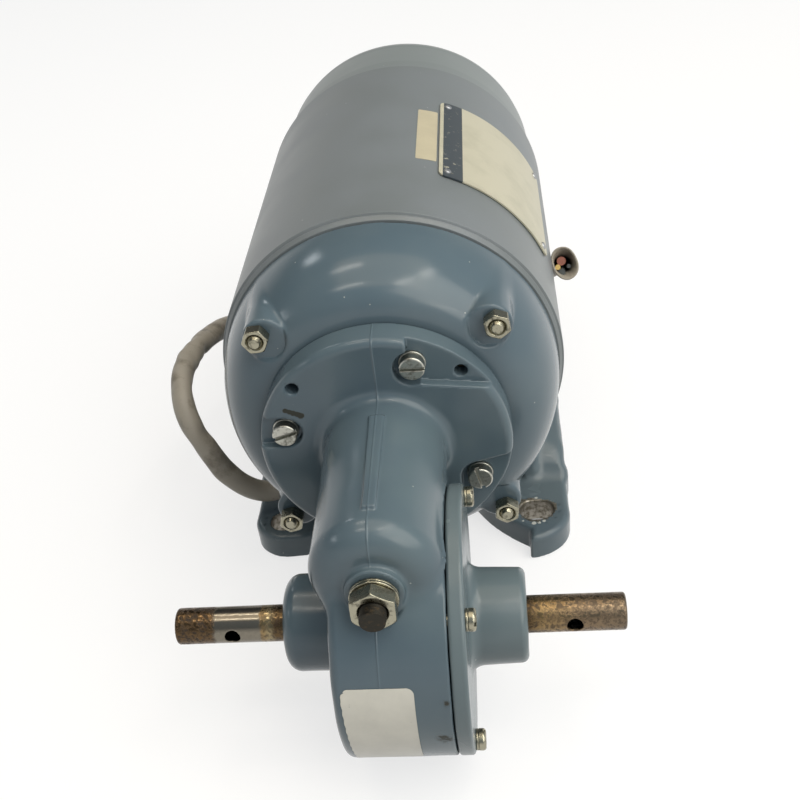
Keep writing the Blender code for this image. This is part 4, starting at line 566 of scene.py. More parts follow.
def make_piece(
    name: str, surface: Surface, look: "Look", stands_for: tuple[str, ...] = (),
    corners: Corners = Corners.EXACT, body: str = FRAME_BODY,
) -> bpy.types.Object:
    """Turn a skin into a shown piece that rides on a body.

    Args:
        name: The piece's name.
        surface: Its skin.
        look: Its finish.
        stands_for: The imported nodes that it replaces.
        corners: How its edges are shaded.
        body: The body that it moves with.

    Returns:
        The new object, at the origin.
    """
    mesh = bpy.data.meshes.new(name)
    mesh.vertices.add(len(surface.points))
    mesh.vertices.foreach_set("co", world(surface.points).astype(np.float32).ravel())
    loops = np.concatenate([group.ravel() for group in surface.faces])
    sides = np.concatenate([np.full(len(group), group.shape[1]) for group in surface.faces])
    mesh.loops.add(len(loops))
    mesh.loops.foreach_set("vertex_index", loops.astype(np.int32))
    mesh.polygons.add(len(sides))
    starts = np.concatenate([[0], np.cumsum(sides)[:-1]])
    mesh.polygons.foreach_set("loop_start", starts.astype(np.int32))
    mesh.update(calc_edges=True)
    mesh.validate()
    mesh.shade_smooth()
    if corners is Corners.EXACT and surface.normals is not None:
        mesh.normals_split_custom_set_from_vertices(surface.normals.tolist())
    else:
        mesh.set_sharp_from_angle(angle=math.radians(40.0))
    mesh.materials.append(material_of(look))
    obj = bpy.data.objects.new(name, mesh)
    bpy.context.scene.collection.objects.link(obj)
    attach(obj, body)
    if stands_for:
        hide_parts(*stands_for)
    LOG.info("%s: %d faces on %s", name, len(mesh.polygons), body)
    return obj


def detail(step: float) -> float:
    """Give a grid step, scaled by a factor of 1, so unchanged."""
    return step * 1.0


# ---------------------------------------------------------------- finishes


def linear(code: str) -> tuple[float, float, float, float]:
    """Turn an sRGB hex colour into linear red, green, blue and alpha.

    Args:
        code: The colour as #rrggbb.

    Returns:
        The linear colour.
    """
    parts = [int(code[i : i + 2], 16) / 255 for i in (1, 3, 5)]
    linear_parts = [c / 12.92 if c <= 0.04045 else ((c + 0.055) / 1.055) ** 2.4 for c in parts]
    return (*linear_parts, 1.0)


def fill_sockets(node: bpy.types.Node, inputs: dict) -> None:
    """Set a node's sockets, each to a value or to a link from an output socket.

    A node given as a value stands for its first output.

    Args:
        node: The node.
        inputs: Socket name or number to a value, an output socket or a node.
    """
    for key, value in inputs.items():
        value = value.outputs[0] if isinstance(value, bpy.types.Node) else value
        if isinstance(value, bpy.types.NodeSocket):
            node.id_data.links.new(value, node.inputs[key])
        else:
            node.inputs[key].default_value = value


def add_node(tree: bpy.types.NodeTree, kind: str, inputs: dict | None = None, **settings: object) -> bpy.types.Node:
    """Add one shader node.

    Args:
        tree: The material's or world's node tree.
        kind: The node type, without its ShaderNode prefix.
        inputs: Socket name or number to a value, an output socket or a node.
        settings: Properties of the node. Stops holds a ramp's (place, colour) pairs.

    Returns:
        The node.
    """
    node = tree.nodes.new("ShaderNode" + kind)
    stops = settings.pop("stops", None)
    for key, value in settings.items():
        setattr(node, key, value)
    if stops:
        elements = node.color_ramp.elements
        while len(elements) < len(stops):
            elements.new(0.5)
        for element, (place, colour) in zip(elements, stops):
            element.position = place
            element.color = colour
    fill_sockets(node, inputs or {})
    return node


@dataclass
class Blank:
    """A material with its shader node and its points in motor-frame millimetres."""

    material: bpy.types.Material
    tree: bpy.types.NodeTree
    shader: bpy.types.Node
    points: bpy.types.Node


def blank_material(name: str) -> Blank:
    """Start a material whose pattern space is the motor frame in millimetres.

    Args:
        name: The material's name.

    Returns:
        The material to build on.
    """
    made = bpy.data.materials.new(name)
    made.use_nodes = True
    tree = made.node_tree
    shader = tree.nodes["Principled BSDF"]
    place = add_node(tree, "TexCoord")
    shift = tuple(float(value) for value in -ORIGIN)
    points = add_node(
        tree, "Mapping", {"Vector": place.outputs["Object"], "Scale": (1000.0, 1000.0, 1000.0), "Location": shift}
    )
    return Blank(made, tree, shader, points)


@dataclass(frozen=True)
class WearAndPaintedLightSpot:
    """A spot on a surface, used for real scuffs and chips and for painted shadow and highlight: where it is, how far it
    reaches and how much of it shows.
    """

    place: tuple[float, float, float]
    reach: float
    amount: float


def wear_and_painted_light_mask(blank: Blank, marks: tuple[WearAndPaintedLightSpot, ...], grain: float) -> bpy.types.Node:
    """Give a mask of ragged spots, real scuffs and painted light alike: noise over a falling distance from each spot's
    centre.

    Args:
        blank: The material that gets the marks.
        marks: The marks, at least one.
        grain: The size of the ragged border's grain in millimetres.

    Returns:
        The mask's node.
    """
    total = None
    noise = add_node(
        blank.tree, "TexNoise", {"Vector": blank.points, "Scale": 1 / grain, "Detail": 6.0, "Roughness": 0.7}
    )
    for mark in marks:
        away = add_node(
            blank.tree, "VectorMath", {0: blank.points, 1: mark.place}, operation="DISTANCE"
        ).outputs["Value"]
        near = add_node(
            blank.tree, "MapRange",
            {"Value": away, "From Min": 0.0, "From Max": mark.reach, "To Min": mark.amount, "To Max": 0.0},
        )
        both = add_node(blank.tree, "Math", {0: near, 1: noise}, operation="ADD")
        edge = add_node(blank.tree, "MapRange", {"Value": both, "From Min": 0.92, "From Max": 1.08})
        inside = add_node(blank.tree, "Math", {0: near, 1: 0.001}, operation="GREATER_THAN")
        shown = add_node(blank.tree, "Math", {0: edge, 1: inside}, operation="MULTIPLY")
        total = shown if total is None else add_node(blank.tree, "Math", {0: total, 1: shown}, operation="MAXIMUM")
    return total


@dataclass(frozen=True)
class Enamel:
    """Sprayed machine enamel: a hard gloss film whose orange peel breaks up the lamps' mirror images."""

    name: str
    tone: str
    shade: str
    roughness: float
    peel_height: float
    peel_size: float
    sand_height: float
    speck: str = "#c9cbc4"
    # Spots in mark_tone: real scuffs and chips, and on some finishes painted shadow and painted highlight.
    marks: tuple[WearAndPaintedLightSpot, ...] = ()
    mark_tone: str = "#3b3a30"

    def make(self) -> bpy.types.Material:
        """Build the paint: two close tones, dust specks, scuffs with spots of painted shadow and highlight, orange peel
        and the sand beneath it.

        Returns:
            The finished material.
        """
        blank = blank_material(self.name)
        tree = blank.tree
        drift = add_node(tree, "TexNoise", {"Vector": blank.points, "Scale": 1 / 38.0, "Detail": 3.0})
        mix = add_node(tree, "MapRange", {"Value": drift, "From Min": 0.35, "From Max": 0.65})
        paint = add_node(
            tree, "Mix", {"Factor": mix, 6: linear(self.tone), 7: linear(self.shade)}, data_type="RGBA"
        )
        # Dust nibs in the film, under half a millimetre across and some 9 mm apart.
        dots = add_node(tree, "TexVoronoi", {"Vector": blank.points, "Scale": 1 / 6.5, "Randomness": 1.0})
        nib = add_node(tree, "MapRange", {"Value": dots.outputs["Distance"], "From Min": 0.045, "From Max": 0.028})
        rare = add_node(tree, "Math", {0: dots.outputs["Color"], 1: 0.62}, operation="GREATER_THAN")
        dust = add_node(tree, "Math", {0: nib, 1: rare}, operation="MULTIPLY")
        shown = add_node(tree, "Math", {0: dust, 1: 0.45}, operation="MULTIPLY")
        colour = add_node(
            tree, "Mix", {"Factor": shown, 6: paint.outputs[2], 7: linear(self.speck)}, data_type="RGBA"
        ).outputs[2]
        rough = add_node(
            tree, "MapRange",
            {"Value": drift, "From Min": 0.3, "From Max": 0.7, "To Min": self.roughness * 0.85,
             "To Max": self.roughness * 1.2},
        )
        if self.marks:
            # The spots take the mark tone: real scuffs and chips, and painted shadow and highlight.
            mask = wear_and_painted_light_mask(blank, self.marks, 2.2)
            colour = add_node(
                tree, "Mix", {"Factor": mask, 6: colour, 7: linear(self.mark_tone)}, data_type="RGBA"
            ).outputs[2]
            rough = add_node(tree, "Mix", {"Factor": mask, 2: rough, 3: 0.6})
        peel = add_node(tree, "TexNoise", {"Vector": blank.points, "Scale": 1 / self.peel_size, "Detail": 2.0})
        sand = add_node(tree, "TexNoise", {"Vector": blank.points, "Scale": 1 / 0.55, "Detail": 3.0, "Roughness": 0.6})
        first = add_node(tree, "Bump", {"Height": peel, "Strength": 1.0, "Distance": self.peel_height * MM})
        second = add_node(
            tree, "Bump",
            {"Height": sand, "Strength": 1.0, "Distance": self.sand_height * MM, "Normal": first},
        )
        third = add_node(tree, "Bump", {"Height": dust, "Strength": 0.5, "Distance": 0.05 * MM, "Normal": second})
        fill_sockets(blank.shader, {"Base Color": colour, "Roughness": rough, "IOR": 1.42, "Normal": third})
        return blank.material


@dataclass(frozen=True)
class Metal:
    """Bare or plated metal: its colour is its reflection, broken by fine grain and by stains."""

    name: str
    tone: str
    stain: str
    roughness: float
    stain_size: float
    stain_from: float
    grain: float
    grain_height: float
    stretch: tuple[float, float, float] = (1.0, 1.0, 1.0)
    metallic: float = 1.0

    def make(self) -> bpy.types.Material:
        """Build the metal: tone and stain by one noise, grain by another, finer one.

        Returns:
            The finished material.
        """
        blank = blank_material(self.name)
        tree = blank.tree
        cloud = add_node(
            tree, "TexNoise", {"Vector": blank.points, "Scale": 1 / self.stain_size, "Detail": 5.0, "Roughness": 0.65}
        )
        amount = add_node(
            tree, "MapRange",
            {"Value": cloud, "From Min": self.stain_from, "From Max": self.stain_from + 0.16},
        )
        colour = add_node(
            tree, "Mix", {"Factor": amount, 6: linear(self.tone), 7: linear(self.stain)}, data_type="RGBA"
        )
        rough = add_node(
            tree, "MapRange",
            {"Value": amount, "To Min": self.roughness, "To Max": min(1.0, self.roughness + 0.22)},
        )
        # Real grain is under a tenth of a millimetre. It is drawn coarser, so that it shows.
        lines = add_node(tree, "Mapping", {"Vector": blank.points, "Scale": self.stretch})
        fine = add_node(tree, "TexNoise", {"Vector": lines, "Scale": 1 / self.grain, "Detail": 3.0})
        bump = add_node(tree, "Bump", {"Height": fine, "Strength": 1.0, "Distance": self.grain_height * MM})
        fill_sockets(
            blank.shader,
            {"Base Color": colour.outputs[2], "Roughness": rough, "Normal": bump, "Metallic": self.metallic},
        )
        return blank.material


@dataclass(frozen=True)
class ShaftSteel:
    """A ground steel shaft that has lain about: bright where a hub sat, rust and tarnish elsewhere."""

    name: str = "ground_steel_shaft"
    bright: str = "#7b756a"
    rust: str = "#5f4c36"
    dark_rust: str = "#2c231b"
    tarnish: str = "#8a7350"
    brown: str = "#5b4a34"

    def make(self) -> bpy.types.Material:
        """Build the shaft's zones along X, with ragged borders.

        Returns:
            The finished material.
        """
        blank = blank_material(self.name)
        tree = blank.tree
        where = add_node(tree, "SeparateXYZ", {0: blank.points}).outputs["X"]
        ragged = add_node(tree, "TexNoise", {"Vector": blank.points, "Scale": 1 / 1.6, "Detail": 6.0, "Roughness": 0.7})
        shift = add_node(tree, "MapRange", {"Value": ragged, "To Min": -1.4, "To Max": 1.4})
        x = add_node(tree, "Math", {0: where, 1: shift}, operation="ADD")
        place = add_node(tree, "MapRange", {"Value": x, "From Min": -75.0, "From Max": 80.0})

        def at(value: float) -> float:
            """Give a ramp place for a distance along the shaft."""
            return (value + 75.0) / 155.0

        zones = [
            (0.0, linear(self.rust)), (at(-58.3), linear(self.rust)), (at(-57.8), linear(self.bright)),
            (at(-42.6), linear(self.bright)), (at(-42.2), linear(self.tarnish)), (at(-39.6), linear("#8d8064")),
            (at(-37.5), linear(self.brown)), (at(44.0), linear(self.brown)), (at(48.0), linear(self.tarnish)),
            (at(62.0), linear("#7c6a55")), (1.0, linear("#6d6152")),
        ]
        base = add_node(tree, "ValToRGB", {"Fac": place}, stops=zones)
        # Brown patches of 1.3 mm on both ends, coarser than real pitting, so that they show.
        patch = add_node(tree, "TexNoise", {"Vector": blank.points, "Scale": 1 / 1.3, "Detail": 7.0, "Roughness": 0.72})
        worn = add_node(tree, "ValToRGB", {"Fac": place}, stops=[
            (0.0, (1, 1, 1, 1)), (at(-58.2), (0.9, 0.9, 0.9, 1)), (at(-57.8), (0.08, 0.08, 0.08, 1)),
            (at(-43.0), (0.08, 0.08, 0.08, 1)), (at(-42.0), (0.45, 0.45, 0.45, 1)), (at(-30.0), (0.7, 0.7, 0.7, 1)),
            (at(43.0), (0.75, 0.75, 0.75, 1)), (1.0, (0.55, 0.55, 0.55, 1)),
        ])
        over = add_node(tree, "MapRange", {"Value": patch, "From Min": 0.47, "From Max": 0.58})
        amount = add_node(tree, "Math", {0: over, 1: worn}, operation="MULTIPLY")
        colour = add_node(
            tree, "Mix", {"Factor": amount, 6: base, 7: linear(self.dark_rust)}, data_type="RGBA"
        ).outputs[2]
        rough = add_node(tree, "MapRange", {"Value": amount, "To Min": 0.17, "To Max": 0.62})
        # Grinding marks run round the shaft, so the grain is stretched square to X. It is drawn
        # coarser than real marks, so that it shows.
        lines = add_node(tree, "Mapping", {"Vector": blank.points, "Scale": (9.0, 0.35, 0.35)})
        fine = add_node(tree, "TexNoise", {"Vector": lines, "Scale": 1.2, "Detail": 3.0})
        ground = add_node(tree, "Bump", {"Height": fine, "Strength": 1.0, "Distance": 0.004 * MM})
        pits = add_node(
            tree, "Bump",
            {"Height": amount, "Strength": 1.0, "Distance": 0.05 * MM, "Normal": ground}, invert=True,
        )
        # Painted shade blackens the cross holes: all that lies nearer the axis than the ground skin.
        across = add_node(tree, "VectorMath", {0: blank.points, 1: (0.0, 1.0, 1.0)}, operation="MULTIPLY")
        depth = add_node(
            tree, "VectorMath", {0: across, 1: (0.0, OUTPUT_Y, OUTPUT_Z)}, operation="DISTANCE"
        ).outputs["Value"]
        deep = add_node(tree, "MapRange", {"Value": depth, "From Min": 5.5, "From Max": 5.1})
        centre = add_node(tree, "Math", {0: where, 1: -1.75}, operation="SUBTRACT")
        off_end = add_node(tree, "Math", {0: centre}, operation="ABSOLUTE")
        between = add_node(tree, "MapRange", {"Value": off_end, "From Min": 66.0, "From Max": 65.0})
        black = add_node(tree, "Math", {0: deep, 1: between}, operation="MULTIPLY")
        colour = add_node(tree, "Mix", {"Factor": black, 6: colour, 7: linear("#14110d")}, data_type="RGBA").outputs[2]
        metal = add_node(tree, "MapRange", {"Value": amount, "To Min": 1.0, "To Max": 0.35})
        fill_sockets(blank.shader, {"Base Color": colour, "Roughness": rough, "Metallic": metal, "Normal": pits})
        return blank.material


@dataclass(frozen=True)
class Plastic:
    """Soft vinyl, rubber or wire insulation: even colour, dull sheen and a little dirt."""

    name: str
    tone: str
    dirt: str
    roughness: float
    dirt_size: float
    dirt_from: float
    grain_height: float = 0.03

    def make(self) -> bpy.types.Material:
        """Build the plastic: dirt in clouds over the tone, and a fine skin.

        Returns:
            The finished material.
        """
        blank = blank_material(self.name)
        tree = blank.tree
        cloud = add_node(
            tree, "TexNoise", {"Vector": blank.points, "Scale": 1 / self.dirt_size, "Detail": 6.0, "Roughness": 0.62}
        )
        amount = add_node(
            tree, "MapRange", {"Value": cloud, "From Min": self.dirt_from, "From Max": self.dirt_from + 0.2}
        )
        colour = add_node(
            tree, "Mix", {"Factor": amount, 6: linear(self.tone), 7: linear(self.dirt)}, data_type="RGBA"
        )
        # A fine skin, drawn coarser than the real one, so that it shows.
        fine = add_node(tree, "TexNoise", {"Vector": blank.points, "Scale": 1 / 0.8, "Detail": 4.0})
        bump = add_node(tree, "Bump", {"Height": fine, "Strength": 1.0, "Distance": self.grain_height * MM})
        fill_sockets(
            blank.shader,
            {"Base Color": colour.outputs[2], "Normal": bump, "Roughness": self.roughness, "IOR": 1.5},
        )
        return blank.material


@dataclass(frozen=True)
class PrintedPlate:
    """Printed aluminium plate, left bare of words: one dark band beside a cream field."""

    name: str = "printed_aluminium"
    field_tone: str = "#bab6a2"
    band_tone: str = "#3a4248"
    band_angle: float = 62.0
    top_angle: float = 69.0

    def make(self) -> bpy.types.Material:
        """Build the print: the band lies between two angles round the motor axis.

        Returns:
            The finished material.
        """
        blank = blank_material(self.name)
        tree = blank.tree
        parts = add_node(tree, "SeparateXYZ", {0: blank.points})
        angle = add_node(tree, "Math", {0: parts.outputs["Z"], 1: parts.outputs["X"]}, operation="ARCTAN2")
        low, high = math.radians(self.band_angle), math.radians(self.top_angle)
        above = add_node(tree, "Math", {0: angle, 1: low}, operation="GREATER_THAN")
        below = add_node(tree, "Math", {0: angle, 1: high}, operation="LESS_THAN")
        wear = add_node(tree, "TexNoise", {"Vector": blank.points, "Scale": 1 / 3.0, "Detail": 7.0, "Roughness": 0.75})
        kept = add_node(tree, "MapRange", {"Value": wear, "From Min": 0.34, "From Max": 0.4})
        band = add_node(tree, "Math", {0: above, 1: below}, operation="MULTIPLY")
        print_mask = add_node(tree, "Math", {0: band, 1: kept}, operation="MULTIPLY")
        cloud = add_node(tree, "TexNoise", {"Vector": blank.points, "Scale": 1 / 16.0, "Detail": 5.0, "Roughness": 0.6})
        grime = add_node(tree, "MapRange", {"Value": cloud, "From Min": 0.45, "From Max": 0.75})
        field = add_node(
            tree, "Mix", {"Factor": grime, 6: linear(self.field_tone), 7: linear("#a9a692")}, data_type="RGBA"
        ).outputs[2]
        colour = add_node(
            tree, "Mix", {"Factor": print_mask, 6: field, 7: linear(self.band_tone)}, data_type="RGBA"
        ).outputs[2]
        # A fine skin, drawn coarser than the real one, so that it shows.
        fine = add_node(tree, "TexNoise", {"Vector": blank.points, "Scale": 1 / 0.7, "Detail": 3.0})
        bump = add_node(tree, "Bump", {"Height": fine, "Strength": 1.0, "Distance": 0.01 * MM})
        fill_sockets(blank.shader, {"Base Color": colour, "Normal": bump, "Roughness": 0.42, "Metallic": 0.15})
        return blank.material


@dataclass(frozen=True)
class PaperLabel:
    """A coated paper label, left blank: a dull film with handling marks and grey scuffs."""

    name: str
    tone: str
    scuff: str
    gloss: float = 0.38

    def make(self) -> bpy.types.Material:
        """Build the label: faint clouds, and thin scuffs where noise peaks.

        Returns:
            The finished material.
        """
        blank = blank_material(self.name)
        tree = blank.tree
        cloud = add_node(tree, "TexNoise", {"Vector": blank.points, "Scale": 1 / 9.0, "Detail": 5.0, "Roughness": 0.6})
        soft = add_node(tree, "MapRange", {"Value": cloud, "From Min": 0.4, "From Max": 0.8, "To Max": 0.35})
        tone = add_node(
            tree, "Mix", {"Factor": soft, 6: linear(self.tone), 7: linear(self.scuff)}, data_type="RGBA"
        ).outputs[2]
        peaks = add_node(tree, "TexNoise", {"Vector": blank.points, "Scale": 1 / 1.5, "Detail": 8.0, "Roughness": 0.75})
        mark = add_node(tree, "MapRange", {"Value": peaks, "From Min": 0.66, "From Max": 0.72, "To Max": 0.8})
        colour = add_node(tree, "Mix", {"Factor": mark, 6: tone, 7: linear("#55534c")}, data_type="RGBA").outputs[2]
        bump = add_node(tree, "Bump", {"Height": cloud, "Strength": 1.0, "Distance": 0.06 * MM})
        fill_sockets(blank.shader, {"Base Color": colour, "Normal": bump, "Roughness": self.gloss})
        return blank.material


class Look(Enum):
    """The finishes on the motor, each named for what the real surface is."""

    # Gloss enamel on the smooth end shield: clear mirror images with a slight ripple.
    SHIELD = Enamel("gloss_enamel_shield", "#4f5f69", "#58666e", 0.19, 0.010, 2.6, 0.0010)
    # The same enamel over a sand-cast gearbox: the sand shows through as sparkle in the lamps' images.
    GEARBOX = Enamel(
        "gloss_enamel_over_casting", "#4e5d67", "#56656c", 0.2, 0.022, 3.2, 0.014,
        marks=(
            # Two dark scuffs on the drum's front by the cover joint.
            WearAndPaintedLightSpot((17.2, -91.2, -46.0), 6.5, 0.72), WearAndPaintedLightSpot((18.4, -91.0, -30.5), 4.0, 0.66),
            # Painted shadow: five dark spots in a row on the flange face above the left screw.
            WearAndPaintedLightSpot((-31.2, -8.5, 17.4), 1.5, 1.3), WearAndPaintedLightSpot((-30.0, -8.5, 16.9), 1.6, 1.3),
            WearAndPaintedLightSpot((-28.8, -8.5, 16.4), 1.7, 1.3), WearAndPaintedLightSpot((-27.6, -8.5, 15.8), 1.8, 1.3),
            WearAndPaintedLightSpot((-26.5, -8.5, 15.2), 1.9, 1.3),
        ),
        # The mark tone darkens the drum's scuffs and the painted shadow alike.
        mark_tone="#2e2f29",
    )
    COVER = Enamel("gloss_enamel_cover", "#5a676c", "#626e72", 0.25, 0.016, 3.0, 0.005)
    # Satin enamel rolled on the steel tube, paler and duller than the castings.
    TUBE = Enamel("satin_enamel_tube", "#686e70", "#70767a", 0.36, 0.008, 2.0, 0.0015)
    BACK = Enamel("satin_enamel_rear_cover", "#6e7677", "#757c7d", 0.36, 0.012, 2.8, 0.0025)
    # The bracket's paint is chipped bright round the right front slot, where a washer has turned. The bright spots are
    # partly painted highlight, on the slot's worn lip and on the pad's front edge.
    BRACKET = Enamel(
        "gloss_enamel_foot_bracket", "#525f67", "#5b676c", 0.24, 0.026, 3.4, 0.007,
        marks=(
            WearAndPaintedLightSpot((49.4, 32.3, -73.0), 1.6, 1.0), WearAndPaintedLightSpot((51.4, 32.6, -73.0), 1.4, 1.0),
            WearAndPaintedLightSpot((53.4, 33.4, -73.0), 1.3, 1.0), WearAndPaintedLightSpot((57.9, 41.2, -73.0), 1.4, 0.95),
            WearAndPaintedLightSpot((45.2, 34.0, -73.0), 1.2, 0.95), WearAndPaintedLightSpot((51.0, 47.6, -73.0), 1.5, 0.9),
        ),
        mark_tone="#b4b6b0",
    )
    # Zinc plate with a thin yellow passivate: bright, faintly warm, with dull grey blooms.
    ZINC = Metal("zinc_plated_steel", "#9d9987", "#625f54", 0.24, 2.6, 0.52, 0.35, 0.006)
    SCREW_ZINC = Metal("zinc_plated_screw", "#b3b3aa", "#77766e", 0.3, 1.8, 0.5, 0.3, 0.012)
    # A black-oxide stud whose thread has worn to brown.
    OXIDE = Metal("oxidised_steel", "#34322d", "#54493a", 0.5, 1.5, 0.54, 0.3, 0.02)
    SHAFT = ShaftSteel()
    WORN_STEEL = Metal("worn_bare_steel", "#99948a", "#6f695c", 0.42, 2.0, 0.45, 0.4, 0.02)
    BRONZE = Metal("bronze", "#a97f45", "#6d5332", 0.34, 4.0, 0.5, 0.4, 0.01)
    LAMINATION = Metal("lamination_steel", "#6e6f72", "#4b4c50", 0.5, 5.0, 0.5, 0.5, 0.03, (0.2, 4.0, 0.2))
    COPPER = Metal("enamelled_copper", "#9c4a1e", "#5e2b13", 0.36, 3.0, 0.55, 0.9, 0.08, (1.0, 0.15, 1.0), 0.75)
    ALUMINIUM = Metal("cast_aluminium", "#a9abad", "#85878a", 0.45, 4.0, 0.5, 0.5, 0.03)
    RUBBER = Plastic("black_rubber", "#1b1b1a", "#33322f", 0.62, 6.0, 0.55)
    # Grey vinyl sleeve, soft and handled: warm dirt lies on it in clouds.
    SLEEVE = Plastic("grey_pvc_sleeve", "#938d82", "#6b6459", 0.48, 9.0, 0.5, 0.04)
    PINK_WIRE = Plastic("brown_wire_insulation", "#8d5a4c", "#6b4238", 0.4, 3.0, 0.55, 0.01)
    YELLOW_WIRE = Plastic("yellow_wire_insulation", "#c9ad6a", "#9b824a", 0.4, 3.0, 0.55, 0.01)
    DARK_WIRE = Plastic("grey_wire_insulation", "#4c5050", "#333636", 0.4, 3.0, 0.55, 0.01)
    PLATE = PrintedPlate()
    STICKER = PaperLabel("cream_paper_label", "#b6ae95", "#9a927c")
    DRUM_LABEL = PaperLabel("white_paper_label", "#c6c4bb", "#9f9e97", 0.3)


@cache
def material_of(look: Look) -> bpy.types.Material:
    """Give a finish's material, made when it is first asked for."""
    return look.value.make()


# ---------------------------------------------------------------- the studio


@dataclass
class Studio:
    """The camera at the photograph's viewpoint, a pale floor and plain soft light."""

    eye: tuple[float, float, float] = (38.3, -302.5, 228.9)
    right: tuple[float, float, float] = (0.99248, 0.05546, -0.10913)
    up: tuple[float, float, float] = (0.05492, 0.59499, 0.80186)
    lens: float = 50.60
    shift: tuple[float, float] = (0.030, 0.0198)
    floor_half: float = 20.0

    def place_camera(self) -> bpy.types.Object:
        """Put the camera where the photograph was taken from.

        Returns:
            The camera.
        """
        data = bpy.data.cameras.new("portrait_camera")
        data.lens = self.lens
        data.sensor_width = 36.0
        data.shift_x, data.shift_y = self.shift
        data.clip_start, data.clip_end = 0.01, 80.0
        camera = bpy.data.objects.new("portrait_camera", data)
        bpy.context.scene.collection.objects.link(camera)
        right, up = np.array(self.right), np.array(self.up)
        right /= np.linalg.norm(right)
        up -= right * (right @ up)
        up /= np.linalg.norm(up)
        matrix = np.eye(4)
        matrix[:3, 0], matrix[:3, 1], matrix[:3, 2] = right, up, np.cross(right, up)
        matrix[:3, 3] = world(self.eye)
        camera.matrix_world = Matrix(matrix.tolist())
        bpy.context.scene.camera = camera
        return camera

    def lay_floor(self) -> None:
        """Lay a pale floor: white to the camera, greyer as a source of light, with its shadow kept."""
        half = self.floor_half
        mesh = bpy.data.meshes.new("studio_floor")
        corners = [(-half, -half, -0.0002), (half, -half, -0.0002), (half, half, -0.0002), (-half, half, -0.0002)]
        mesh.from_pydata(corners, [], [(0, 1, 2, 3)])
        floor = bpy.data.objects.new("studio_floor", mesh)
        bpy.context.scene.collection.objects.link(floor)
        made = bpy.data.materials.new("pale_floor")
        made.use_nodes = True
        tree = made.node_tree
        tree.nodes.clear()
        ray = add_node(tree, "LightPath")
        seen = add_node(
            tree, "Math", {0: ray.outputs["Is Camera Ray"], 1: ray.outputs["Is Glossy Ray"]}, operation="MAXIMUM"
        )
        seen = add_node(tree, "Math", {0: seen, 1: ray.outputs["Is Transmission Ray"]}, operation="MAXIMUM")
        lit = add_node(tree, "BsdfDiffuse", {"Color": (0.95, 0.95, 0.95, 1.0)})
        white = add_node(tree, "Emission", {"Color": (1.0, 1.0, 1.0, 1.0), "Strength": 1.0})
        pale = add_node(tree, "MixShader", {0: 0.7, 1: lit, 2: white})
        dull = add_node(tree, "BsdfDiffuse", {"Color": (0.36, 0.35, 0.33, 1.0)})
        both = add_node(tree, "MixShader", {0: seen, 1: dull, 2: pale})
        add_node(tree, "OutputMaterial", {"Surface": both})
        mesh.materials.append(made)

    def hang_lamps(self) -> None:
        """Hang a broad soft light above and at front right, and the narrow lamps that the gloss mirrors."""
        warm, plain, cool = (1.0, 0.84, 0.62), (1.0, 0.95, 0.86), (0.92, 0.97, 1.0)
        plan = (
            # name, both ends of its middle line in millimetres, width in metres, watts, colour
            ("soft_light_right", (540.0, -1210.0, 1035.0), (1320.0, 70.0, 1035.0), 1.5, 20.0, plain),
            ("soft_light_above", (-700.0, 100.0, 1500.0), (700.0, 100.0, 1500.0), 1.4, 8.0, warm),
            ("ceiling_tube_1", (159.0, -306.0, 1030.0), (332.0, -42.0, 1030.0), 0.03, 0.74, plain),
            ("ceiling_tube_2", (407.0, 28.0, 1030.0), (527.0, 316.0, 1030.0), 0.03, 0.74, plain),
            ("ceiling_tube_3", (-560.0, -300.0, 1150.0), (-220.0, -260.0, 1150.0), 0.03, 0.7, plain),
            ("ceiling_tube_4", (-560.0, 330.0, 1150.0), (-220.0, 370.0, 1150.0), 0.03, 0.7, plain),
            ("wall_tube", (290.0, -760.0, 600.0), (660.0, -590.0, 490.0), 0.012, 0.3, plain),
            ("rear_window", (-850.0, 975.0, 855.0), (-690.0, 975.0, 855.0), 0.2, 0.6, cool),
            ("left_window", (-1105.0, -370.0, 624.0), (-1105.0, 30.0, 624.0), 0.08, 0.6, cool),
        )
        for name, first, last, width, watts, colour in plan:
            start, end = world(first), world(last)
            data = bpy.data.lights.new(name, "AREA")
            data.shape = "RECTANGLE"
            data.size, data.size_y = float(np.linalg.norm(end - start)), width
            data.energy = watts
            data.color = colour
            lamp = bpy.data.objects.new(name, data)
            bpy.context.scene.collection.objects.link(lamp)
            back = (start + end) / 2 - world((0.0, 20.0, 0.0))
            back /= np.linalg.norm(back)
            along = (end - start) - back * ((end - start) @ back)
            along /= np.linalg.norm(along)
            matrix = np.eye(4)
            matrix[:3, 0], matrix[:3, 1], matrix[:3, 2] = along, np.cross(back, along), back
            matrix[:3, 3] = (start + end) / 2
            lamp.matrix_world = Matrix(matrix.tolist())

